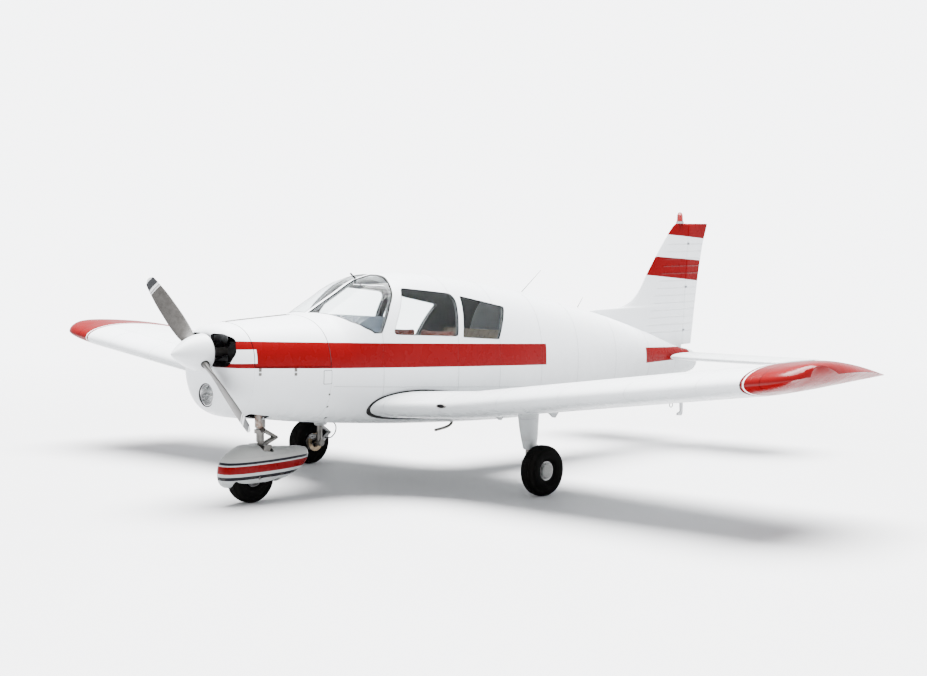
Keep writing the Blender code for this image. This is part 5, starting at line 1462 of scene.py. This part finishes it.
def burnt_steel():
    pipe = Finish("burnt_steel", rough=0.5, metal=0.8)
    rust = pipe.ramp(pipe.noise(34.0, 5.0, 0.65), 0.40, 0.66)
    colour = pipe.mix(rust, (0.20, 0.18, 0.165), (0.13, 0.062, 0.033))
    colour = pipe.mix(pipe.ramp(pipe.z, 0.66, 0.625), colour, (0.020, 0.018, 0.017))
    return pipe.done(colour, pipe.ramp(rust, 0.0, 1.0, 0.42, 0.80),
                     pipe.bump(pipe.noise(160.0, 4.0), 0.0010, 0.7))


CAST_IRON = cast_iron()
refinish(CAST_IRON, "engine_block")
refinish(burnt_steel(), "exhaust_pipe")
BAFFLE = bare_metal("baffle_sheet", "alloy", (0.50, 0.51, 0.52), 0.40, 0.5)
BARREL_RADIUS = 0.052
FIN_RADIUS = 0.074
FINS = [(0.100, 0.0), (0.100, BARREL_RADIUS)]
for k in range(13):
    at = 0.108 + 0.0135 * k
    FINS += [(at, BARREL_RADIUS), (at + 0.0015, FIN_RADIUS), (at + 0.0045, FIN_RADIUS),
             (at + 0.006, BARREL_RADIUS)]
FINS += [(0.292, 0.050), (0.292, 0.0)]
for side, label in SIDES:
    finish_piece(spun("cylinder_" + label, handed(FINS, side), (0.0, -0.232, 1.285), 40, "X"),
                 CAST_IRON)
    sheet = extruded("baffle_" + label, [(-0.320, 1.195), (-0.145, 1.185), (-0.143, 1.420),
                                         (-0.1445, 1.420), (-0.1465, 1.1865), (-0.320, 1.1965)],
                     *sorted((side * 0.095, side * 0.300)))
    finish_piece(sheet, BAFFLE)


# Landing light: a sealed glass lamp, silvered inside, held in the nose bowl by a bright
# pressed rim on a black rubber ring. The lens is moulded with upright flutes.
def lamp_glass():
    glass = Finish("lamp_glass", "glass", rough=0.04, IOR=1.45, Transmission_Weight=1.0)
    flute = glass.math("SINE", glass.x * (2 * math.pi / 0.011))
    cross = glass.math("SINE", glass.z * (2 * math.pi / 0.030))
    return glass.done(glass.mix(glass.ramp(glass.noise(40.0), 0.4, 0.7), (0.93, 0.95, 0.95),
                                (0.86, 0.89, 0.89)), None,
                      glass.bump(flute + cross * 0.4, 0.0016, 1.0))


SILVER = bare_metal("lamp_silvering", "alloy", (0.42, 0.43, 0.43), 0.16, 0.3)
LAMP_CENTRE = (0.0, 0.0, LAMP_Z)
REFLECTOR_RIM = -0.4320
REFLECTOR_DEPTH = 0.085
dish = [(REFLECTOR_RIM + REFLECTOR_DEPTH * (1 - (r / 0.086) ** 2), r) for r in
        (0.0, 0.016, 0.030, 0.044, 0.058, 0.070, 0.080, 0.086)]
lens = spun("lamp_lens", [(-0.4445, 0.0), (-0.4440, 0.030), (-0.4425, 0.055), (-0.4400, 0.074),
                          (-0.4370, 0.0845), (-0.4340, 0.0860), (-0.4325, 0.0840),
                          (-0.4365, 0.070), (-0.4395, 0.045), (-0.4408, 0.0)], LAMP_CENTRE, 72)
finish_piece(lens, lamp_glass(), stands_for=["landing_light"])
reflector = spun("lamp_reflector", dish + [(-0.4300, 0.0885), (-0.4250, 0.0890),
                                           (-0.3650, 0.0720), (-0.3400, 0.0400), (-0.3380, 0.0)],
                 LAMP_CENTRE, 72)
finish_piece(reflector, SILVER, angle=50)
rim = ring_solid("lamp_rim", [(-0.4330, 0.0820), (-0.4395, 0.0826), (-0.4425, 0.0846),
                              (-0.4420, 0.0880), (-0.4370, 0.0900), (-0.4290, 0.0904),
                              (-0.4290, 0.0862)], LAMP_CENTRE, 72, "Y")
finish_piece(rim, CHROME, angle=50)
seat_ring = ring_solid("lamp_rubber_ring", [(-0.4370, 0.0902), (-0.4440, 0.0912),
                                            (-0.4475, 0.0940), (-0.4475, 0.0972),
                                            (-0.4300, 0.0976), (-0.4250, 0.0930)],
                       LAMP_CENTRE, 72, "Y")
bulb = spun("lamp_bulb_shield", [(-0.4180, 0.0), (-0.4170, 0.0140), (-0.4140, 0.0165),
                                 (-0.3900, 0.0165), (-0.3600, 0.0120), (-0.3600, 0.0)],
            LAMP_CENTRE, 40)
finish_piece(bulb, COWL_INSIDE)
finish_piece(seat_ring, RUBBER, angle=50)


# Fittings of the cowl and the skin: spring latches on the door's foot, a filler plate on the
# pan, long hinge rods on top, whip aerials, a thermometer through the windshield, lamps.
def plate_on_body(name, outline, side, proud=0.002):
    """Sheet patch with an outline from the side that follows the skin."""
    low, high = min(y for y, _ in outline) - 0.03, max(y for y, _ in outline) + 0.03
    patch = body_solid(name, -proud, low, high, 192, 0.02)
    combine(patch, body_solid("skin", 0.0006, low - 0.01, high + 0.01, 192, 0.02))
    return combine(patch, extruded("outline", outline, *sorted((side * 0.05, side * 0.9))),
                   "INTERSECT")


def plate_outline(y0, y1, z0, z1, radius=0.004):
    return soft_corners(oblong(y0, y1, z0, z1), radius, 4)


SIDE_PLATES = (("side_plate_edging_", (0.360, 0.441, 0.996, 1.112, 0.008), 0.0007,
                RUBBER),
               ("side_plate_", (0.364, 0.437, 1.000, 1.108, 0.008), 0.0016,
                FUSELAGE_PAINT))
for side, label in SIDES:
    for k, at in enumerate((-0.222, 0.100)):
        foot = DOOR_FOOT[0] + (at + 0.5) * (DOOR_FOOT[1] - DOOR_FOOT[0]) / 1.1
        for part, low, high in (("catch", -0.034, -0.008), ("hook", -0.068, -0.044)):
            latch = plate_on_body("cowl_%s_%s_%d" % (part, label, k),
                                  plate_outline(at - 0.011, at + 0.011, foot + low, foot + high),
                                  side, 0.004)
            finish_piece(latch, STEEL)
    for name, box, proud, finish in SIDE_PLATES:
        finish_piece(plate_on_body(name + label, plate_outline(*box), side, proud), finish)
    for k, spot in enumerate(((0.429, 0.908), (0.447, 0.801), (0.521, 0.695))):
        screw = plate_on_body("pan_screw_%s_%d" % (label, k), circle(0.0085, 20, spot), side, 0.003)
        finish_piece(screw, STEEL)
    ridge = [BOWL_SEAM + 0.012 + (FIREWALL - BOWL_SEAM - 0.024) * k / 24 for k in range(25)]
    rod = bar_along("cowl_hinge_rod_" + label,
                    [(side * 0.0235, y, frame_at(y)[3] + 0.0015) for y in ridge], 0.0028, 10)
    finish_piece(rod, STEEL)
for k, (foot, end) in enumerate((((0.0, 3.342, 1.655), (0.0, 3.646, 1.877)),
                                 ((0.0, 4.173, 1.470), (0.0, 4.280, 1.595)))):
    halfway = tuple((a + b) / 2 for a, b in zip(foot, end))
    whip = bar_along("whip_aerial_%d" % k, bend([foot, halfway, end]),
                     [0.0042 - 0.0026 * j / 16 for j in range(17)], 12)
    finish_piece(whip, RUBBER)
    y = foot[1] + 0.004
    top = frame_at(y)[3]
    pad = spun("aerial_foot_%d" % k, [(top - 0.012, 0.0), (top - 0.012, 0.024),
                                      (top + 0.004, 0.022), (top + 0.012, 0.012),
                                      (top + 0.014, 0.0)], (0.0, y, 0.0), 36, "Z")
    finish_piece(pad, SPINNER_PAINT)
probe = bar_along("thermometer_probe", [(0.0, 1.140, 1.892), (0.0, 1.262, 1.790)], 0.0080, 16)
finish_piece(probe, RUBBER)
DOOR_FRONT = 1.051
half_width, foot, widest, top, below, over = frame_at(DOOR_FRONT)
for k, z in enumerate((1.08, 1.30)):
    n, h = (over, top - widest) if z >= widest else (below, widest - foot)
    x = half_width * max(1.0 - abs((z - widest) / h) ** n, 0.0) ** (1.0 / n)
    knuckle = rod_between("door_hinge_%d" % k, (-x - 0.002, DOOR_FRONT, z - 0.03),
                          (-x - 0.002, DOOR_FRONT, z + 0.03), 0.0055, 20)
    finish_piece(knuckle, SPINNER_PAINT)
handle = bar_along("door_handle", bend([(-0.578, 1.850, 1.195), (-0.598, 1.842, 1.196),
                                        (-0.600, 1.800, 1.198), (-0.598, 1.758, 1.200),
                                        (-0.578, 1.750, 1.201)], 5), 0.006, 14)
finish_piece(handle, ALLOY, body="door_body")


def beacon_finish():
    lamp = Finish("red_beacon_glass", rough=0.12, gloss=0.4)
    rib = lamp.math("SINE", lamp.z * (2 * math.pi / 0.008))
    glass = lamp.above(lamp.z, 2.3575)
    colour = lamp.mix(lamp.ramp(lamp.noise(30.0), 0.3, 0.7), (0.33, 0.003, 0.004),
                      (0.20, 0.001, 0.002))
    colour = lamp.mix(glass, (0.50, 0.50, 0.51), colour)
    lamp.put(lamp.shader.inputs["Metallic"], 1.0 - glass)
    return lamp.done(colour, lamp.ramp(glass, 0.0, 1.0, 0.30, 0.12),
                     lamp.bump(rib * glass, 0.0010, 0.8))


refinish(beacon_finish(), "beacon")

# Under the wings: sheet fairings over the flap hinges, tie-down rings on round pads, the
# airspeed mast under the left wing, and the rubber strip that seals each wing to the body.
SHEET_ROUND = 0.004
RING_RADIUS = 0.0035
TIE_DOWN = (2.90, 1.95)


def rounded_edges(obj):
    pick(obj)
    edge = obj.modifiers.new("edge", "BEVEL")
    edge.width = SHEET_ROUND
    edge.segments = 3
    bpy.ops.object.modifier_apply(modifier="edge")


for side, label in SIDES:
    for k, x in enumerate((0.700, 1.345)):
        low = wing_under(x, HINGE_STATION - 0.18)
        outline = [(HINGE_STATION + y, low + z) for y, z in
                   ((-0.26, 0.010), (-0.17, -0.058), (-0.145, -0.062), (-0.075, 0.010))]
        fairing = extruded("hinge_fairing_%s_%d" % (label, k),
                           soft_corners(outline, [0.01, 0.02, 0.012, 0.01], 5),
                           *sorted((side * (x - 0.011), side * (x + 0.011))))
        rounded_edges(fairing)
        finish_piece(fairing, SPINNER_PAINT)
    x, y = TIE_DOWN
    low = wing_under(x, y)
    disc = spun("tie_down_pad_" + label, [(low + 0.006, 0.0), (low + 0.006, 0.035),
                                          (low - 0.003, 0.035), (low - 0.0045, 0.032),
                                          (low - 0.0045, 0.0)], (side * x, y, 0.0), 36, "Z")
    loop = ring_solid("ring_" + label, circle(RING_RADIUS, 12, (0.0, 0.020)),
                      (side * x, y, low - 0.020), 40, "X")
    finish_piece(merged("tie_down_" + label, disc, loop), STEEL)

MAST_X = 2.665
mast_low = wing_under(MAST_X, 2.40)
MAST = [(y, mast_low + z) for y, z in
        ((2.372, 0.010), (2.376, -0.105), (2.335, -0.118), (2.335, -0.136), (2.392, -0.142),
         (2.406, -0.122), (2.410, 0.010))]
mast = extruded("airspeed_mast", soft_corners(MAST, 0.010, 5), MAST_X - 0.008, MAST_X + 0.008)
rounded_edges(mast)
finish_piece(mast, BLADE_PAINT)

for side, label in SIDES:
    rings = []
    for x in (0.40, 0.48, 0.54, GLOVE_ROOT, 0.60, 0.64, 0.695):
        flat = grown([(p[1], p[2]) for p in wing_section(x)], 0.0125)
        rings.append([(side * x, y, z) for y, z in flat])
    root_seal = lofted("wing_root_seal_" + label, rings)
    combine(root_seal, body_solid("near", -0.0120, 0.60, 3.10, 96, 0.03), "INTERSECT")
    combine(root_seal, body_solid("skin", 0.0006, 0.55, 3.15, 96, 0.03))
    finish_piece(root_seal, RUBBER)

tube = bar_along("drain_tube", bend([(0.2, 2.20, 0.530), (0.2, 2.185, 0.500), (0.2, 2.14, 0.479),
                                     (0.2, 2.06, 0.466), (0.2, 1.98, 0.458)], 5), 0.0130, 16)
finish_piece(tube, STEEL)
INLET_WIDENED = 2.8
for side, label in SIDES:
    scoop = ring_solid("air_inlet_" + label, [(-0.004, 0.0135), (-0.006, 0.0155), (-0.004, 0.0175),
                                              (0.012, 0.0175), (0.012, 0.0135)],
                       (0.0, 0.0, 0.0), 48, "Y")
    # Painted shade: a near-black plug a little inside each inlet ring stands in for the dark duct
    # behind it.
    shade_plug = spun("air_inlet_throat_" + label, [(0.002, 0.0), (0.002, 0.0140), (0.012, 0.0140),
                                                (0.012, 0.0)], (0.0, 0.0, 0.0), 48)
    for piece, finish in ((scoop, STEEL), (shade_plug, COWL_INSIDE)):
        for v in piece.data.vertices:
            v.co = Vector((side * 1.10 + v.co.x * INLET_WIDENED, v.co.y + 1.153, v.co.z + 0.797))
        finish_piece(piece, finish)
    lamp = spun("tip_lamp_" + label, [(-0.012, 0.0), (-0.012, 0.010), (-0.004, 0.018),
                                      (0.020, 0.021), (0.040, 0.021), (0.040, 0.0)],
                (side * 4.40, 2.024, 1.243), 32)
    finish_piece(lamp, COWL_INSIDE)


# Cabin: carpet on a flat floor, a padded glareshield over the instrument panel, two control
# yokes, and seats of foam under cloth, sewn in upright channels, on steel frames.
def carpet():
    pile = Finish("grey_carpet", rough=0.95, gloss=0.05)
    tufts = pile.noise(420.0, 4.0, 0.7)
    worn = pile.noise(5.0, 4.0)
    colour = pile.mix(tufts, (0.050, 0.047, 0.044), (0.115, 0.108, 0.100))
    colour = pile.mix(pile.ramp(worn, 0.45, 0.7, 0.0, 0.5), colour, (0.060, 0.052, 0.042))
    return pile.done(colour, None, pile.bump(tufts, 0.003, 1.0))


def panel_finish():
    panel = Finish("panel_finish", rough=0.55, gloss=0.2)
    crackle = panel.noise(380.0, 3.0, 0.6)
    slate = panel.mix(crackle, (0.060, 0.075, 0.095), (0.085, 0.103, 0.128))
    black = panel.mix(crackle, (0.012, 0.012, 0.013), (0.022, 0.022, 0.024))
    pad = panel.above(panel.sloped(panel.z, panel.y, 0.80, 1.386, 0.10), 0.0)
    return panel.done(panel.mix(pad, black, slate), None, panel.bump(crackle, 0.0008, 0.7))


def dial_face(name, centre, radius):
    """Black dial with a ring of white marks and a white hand."""
    dial = Finish(name, "dark_plastic", rough=0.35, gloss=0.4)
    dx, dz = dial.x - centre[0], dial.z - centre[2]
    r = dial.far(dx, dz)
    twelfth = dial.math("FRACT", dial.math("ARCTAN2", dz, dx) * (12 / (2 * math.pi)))
    marks = dial.between(twelfth, 0.42, 0.58, 0.03) * dial.between(r, 0.70 * radius, 0.90 * radius)
    hand = (dial.line(dx + dz * 0.6, 0.0, 0.0018) * dial.above(dz, 0.0)
            * dial.above(0.68 * radius - r, 0.0))
    rim = dial.above(r, 0.95 * radius)
    colour = dial.mix(dial.either(marks, hand), (0.006, 0.006, 0.007), (0.50, 0.50, 0.47))
    return dial.done(dial.mix(rim, colour, (0.045, 0.045, 0.047)), None,
                     dial.bump(rim, 0.002, 1.0))


def glareshield_vinyl():
    vinyl = Finish("glareshield_vinyl", "dark_plastic", rough=0.5, gloss=0.3)
    grain = vinyl.noise(330.0, 3.0, 0.6)
    faded = vinyl.noise(7.0, 4.0)
    colour = vinyl.mix(grain, (0.016, 0.022, 0.031), (0.026, 0.034, 0.046))
    colour = vinyl.mix(vinyl.ramp(faded, 0.4, 0.7, 0.0, 0.5), colour, (0.050, 0.060, 0.074))
    return vinyl.done(colour, vinyl.ramp(faded, 0.3, 0.7, 0.40, 0.58),
                      vinyl.bump(grain, 0.0010, 0.7))


def yoke_plastic():
    grip = Finish("yoke_plastic", rough=0.5, gloss=0.25)
    worn = grip.noise(60.0, 5.0, 0.6)
    return grip.done(grip.mix(grip.ramp(worn, 0.4, 0.7), (0.010, 0.010, 0.011),
                              (0.026, 0.026, 0.027)),
                     grip.ramp(worn, 0.3, 0.7, 0.38, 0.6), grip.bump(grip.noise(500.0), 0.0005, 0.6))


cover = extruded("glareshield", soft_corners([(0.600, 1.340), (0.610, 1.385), (0.800, 1.470),
                                              (0.980, 1.535), (1.090, 1.530), (1.140, 1.490),
                                              (1.130, 1.440), (1.064, 1.412), (0.980, 1.440),
                                              (0.800, 1.395)],
                                             [0.005, 0.01, 0.2, 0.1, 0.02, 0.015, 0.01, 0.01, 0.05,
                                              0.1], 5), -0.60, 0.60)
combine(cover, body_solid("inside", WALL + 0.001, FIREWALL + 0.02, 1.40), "INTERSECT")
finish_piece(cover, glareshield_vinyl(), angle=50)
refinish(carpet(), "cabin_floor")
refinish(panel_finish(), "instrument_panel")
refinish(yoke_plastic(), "yoke_left", "yoke_right")
refinish(STEEL, "seat_frame_left", "seat_frame_right")
DIALS = [(x, z, 0.040) for z in (1.365, 1.270) for x in (0.370, 0.270, 0.170, 0.070)]
DIALS += [(x, 1.335, 0.030) for x in (-0.200, -0.280, -0.360)]
DIALS += [(x, 1.255, 0.024) for x in (-0.200, -0.265, -0.330)]
for k, (x, z, radius) in enumerate(DIALS):
    face = 1.02 + (z - 1.08) * 0.04 / 0.34
    dial = spun("dial_%02d" % k, [(face - 0.006, 0.0), (face - 0.006, radius),
                                  (face + 0.006, radius), (face + 0.008, radius * 0.96),
                                  (face + 0.0045, radius * 0.92), (face + 0.0045, 0.0)],
                (x, 0.0, z), 40)
    finish_piece(dial, dial_face("dial_face_%02d" % k, (x, face, z), radius))

THREAD = 0.0022


def seat_cloth(name, body_colour, top_colour, start):
    """Plain weave, faded in places, with a second colour above a height."""
    cloth = Finish(name, "cloth", rough=0.85, gloss=0.12, Sheen_Weight=0.25)
    weave = (cloth.math("SINE", cloth.x * (2 * math.pi / THREAD))
             * cloth.math("SINE", (cloth.y + cloth.z) * (2 * math.pi / THREAD)))
    faded = cloth.noise(8.0, 5.0, 0.6)
    colour = cloth.mix(cloth.ramp(faded, 0.3, 0.75, 0.0, 0.45), body_colour,
                       tuple(c * 0.7 for c in body_colour))
    above = cloth.mix(cloth.ramp(faded, 0.3, 0.75, 0.0, 0.5), top_colour,
                      tuple(c * 0.65 for c in top_colour))
    colour = cloth.mix(cloth.above(cloth.z, start, 0.006), colour, above)
    colour = cloth.mix(cloth.ramp(weave, -1.0, 1.0, 0.0, 0.22), colour,
                       tuple(c * 0.4 for c in body_colour))
    return cloth.done(colour, None, cloth.bump(weave, 0.0006, 0.6))


MOST_SWELL = 0.014
BORDER = 0.055
STITCH = 0.0065
STITCH_DEPTH = 0.0070


def stuffed(name, outline, low, high, voxel, channels, facing):
    """Foam pad under cloth: blown up a little, then drawn in along its sewn channels."""
    pad = extruded(name, soft_corners(outline, 0.022, 4), low, high)
    pick(pad)
    pad.data.remesh_voxel_size = voxel
    bpy.ops.object.voxel_remesh()
    before = [v.co.copy() for v in pad.data.vertices]
    swell = pad.modifiers.new("swell", "CLOTH")
    swell.settings.use_pressure = True
    swell.settings.uniform_pressure_force = 4.0
    swell.settings.effector_weights.gravity = 0.0
    swell.settings.quality = 4
    scene = bpy.context.scene
    for step in range(1, 21):
        scene.frame_set(step)
    bpy.ops.object.modifier_apply(modifier=swell.name)
    scene.frame_set(1)
    for v, old in zip(pad.data.vertices, before):
        move = v.co - old
        if move.length > MOST_SWELL:
            v.co = old + move.normalized() * MOST_SWELL
    finer = pad.modifiers.new("finer", "SUBSURF")
    finer.levels = finer.render_levels = 1
    bpy.ops.object.modifier_apply(modifier=finer.name)
    middle = 0.5 * (low + high)
    sewn_half = 0.5 * (high - low) - BORDER
    normals = [v.normal.copy() for v in pad.data.vertices]
    for v, n in zip(pad.data.vertices, normals):
        across = v.co.x - middle
        faced = min(1.0, 1.6 * max(n.dot(Vector(facing)), 0.0))
        sewn = math.exp(-((abs(across) - sewn_half) / STITCH) ** 2)
        if abs(across) < sewn_half:
            near = abs((across / channels) - round(across / channels)) * channels
            sewn = max(math.exp(-(near / STITCH) ** 2), sewn)
        v.co -= n * STITCH_DEPTH * sewn * faced
    return pad


FRONT_CLOTH = seat_cloth("front_seat_cloth", (0.070, 0.068, 0.066), (0.135, 0.038, 0.026), 1.27)
REAR_CLOTH = seat_cloth("rear_seat_cloth", (0.19, 0.155, 0.115), (0.19, 0.155, 0.115), 9.0)
UPWARD = (0.0, 0.0, 1.0)
FORWARD = (0.0, -0.93, 0.37)
SEAT_X = 0.255
SEAT_HALF = 0.196


def finish_pad(pad, cloth, node):
    finish_piece(pad, cloth, stands_for=[node], angle=60)


for name, outline, facing in (
        ("seat_cushion", [(1.447, 0.942), (1.432, 1.046), (1.775, 1.030), (1.770, 0.942)], UPWARD),
        ("seat_back", [(1.800, 0.955), (1.808, 1.075), (1.944, 1.376), (1.998, 1.362),
                       (1.890, 0.955)], FORWARD)):
    pad = stuffed(name + "_left", outline, SEAT_X - SEAT_HALF, SEAT_X + SEAT_HALF, 0.008, 0.048,
                  facing)
    other = pad.copy()
    other.data = pad.data.copy()
    other.name = name + "_right"
    bpy.context.collection.objects.link(other)
    for v in other.data.vertices:
        v.co.x -= 2 * SEAT_X
    finish_pad(pad, FRONT_CLOTH, "seat_left")
    finish_pad(other, FRONT_CLOTH, "seat_right")
for name, outline, facing in (
        ("rear_cushion", [(2.120, 0.750), (2.118, 1.030), (2.540, 1.002), (2.540, 0.750)], UPWARD),
        ("rear_back", [(2.565, 0.760), (2.572, 1.035), (2.714, 1.358), (2.778, 1.342),
                       (2.665, 0.760)], FORWARD)):
    finish_pad(stuffed(name, outline, -0.425, 0.425, 0.011, 0.070, facing), REAR_CLOTH,
               "rear_seat")

# Studio: a pale floor that fades into the backdrop all round, one very wide soft light overhead
# and a pale surround that is brighter low down. The backdrop that the camera and the windows
# show is brighter than the surround that lights the aircraft.
FLOOR_HALF = 60
floor = solid("studio_floor", [(x, y, 0) for x, y in oblong(-FLOOR_HALF, FLOOR_HALF, -FLOOR_HALF,
                                                            FLOOR_HALF)], [(0, 1, 2, 3)])
matt = Finish("studio_floor", rough=0.55, gloss=0.1)
matt.done(matt.mix(matt.ramp(matt.noise(0.5), 0.3, 0.7), (0.505, 0.507, 0.514),
                   (0.520, 0.522, 0.530)))
fading = matt.node("MixShader")
matt.put(fading.inputs[0], matt.ramp(matt.far(matt.x, matt.y), 7.5, 17.0))
matt.put(fading.inputs[1], matt.shader.outputs[0])
matt.put(fading.inputs[2], matt.node("BsdfTransparent").outputs[0])
matt.put(matt.tree.nodes["Material Output"].inputs[0], fading.outputs[0])
floor.data.materials.append(matt.mat)

world = bpy.data.worlds.new("studio")
bpy.context.scene.world = world
world.use_nodes = True
tree = world.node_tree
way = tree.nodes.new("ShaderNodeTexCoord")
split = tree.nodes.new("ShaderNodeSeparateXYZ")
fade = tree.nodes.new("ShaderNodeMapRange")
path = tree.nodes.new("ShaderNodeLightPath")
seen = tree.nodes.new("ShaderNodeMath")
seen.operation = "MAXIMUM"
backdrop = tree.nodes.new("ShaderNodeMix")
backdrop.inputs[3].default_value = 6.3
surround = tree.nodes["Background"]
surround.inputs["Color"].default_value = (0.965, 0.975, 1.0, 1.0)
for socket, value in (("From Min", 0.05), ("From Max", 0.5), ("To Min", 1.7), ("To Max", 0.95)):
    fade.inputs[socket].default_value = value
for source, target in ((way.outputs["Generated"], split.inputs[0]),
                       (split.outputs[2], fade.inputs["Value"]),
                       (path.outputs["Is Camera Ray"], seen.inputs[0]),
                       (path.outputs["Is Transmission Ray"], seen.inputs[1]),
                       (seen.outputs[0], backdrop.inputs[0]),
                       (fade.outputs[0], backdrop.inputs[2]),
                       (backdrop.outputs[0], surround.inputs["Strength"])):
    tree.links.new(source, target)
light = bpy.data.lights.new("soft_ceiling", "SUN")
light.energy = 33.5
light.angle = math.radians(56)
ceiling = bpy.data.objects.new("soft_ceiling", light)
bpy.context.collection.objects.link(ceiling)
ceiling.rotation_euler = Vector((-0.10, 0.20, 1.0)).to_track_quat("Z", "Y").to_euler()

# Camera where the photograph was taken from: left of the nose, just above wing height. Its
# turns are in radians, and its focal length in pixels of the photograph's frame.
FRAME_WIDTH = 927
FOCAL_PIXELS = 1754.307
SENSOR = 36.0
CAMERA_FROM_AXLE = (11.432, -9.185, 2.261)
YAW, PITCH, ROLL = 0.772, -0.061, -0.002
camera_data = bpy.data.cameras.new("photo_camera")
camera_data.sensor_width = SENSOR
camera_data.lens = FOCAL_PIXELS / FRAME_WIDTH * SENSOR
camera_data.clip_end = 200.0
camera = bpy.data.objects.new("photo_camera", camera_data)
bpy.context.collection.objects.link(camera)
look = Vector((-math.sin(YAW) * math.cos(PITCH), math.cos(YAW) * math.cos(PITCH), math.sin(PITCH)))
right = look.cross(Vector((0.0, 0.0, 1.0))).normalized()
up = right.cross(look)
right, up = (right * math.cos(ROLL) + up * math.sin(ROLL),
             up * math.cos(ROLL) - right * math.sin(ROLL))
stand = Vector(CAMERA_FROM_AXLE) + Vector((0.0, NOSE_AXLE, 0.0))
camera.matrix_world = (Matrix.Translation(stand)
                       @ Matrix((right, up, -look)).transposed().to_4x4())
bpy.context.scene.camera = camera
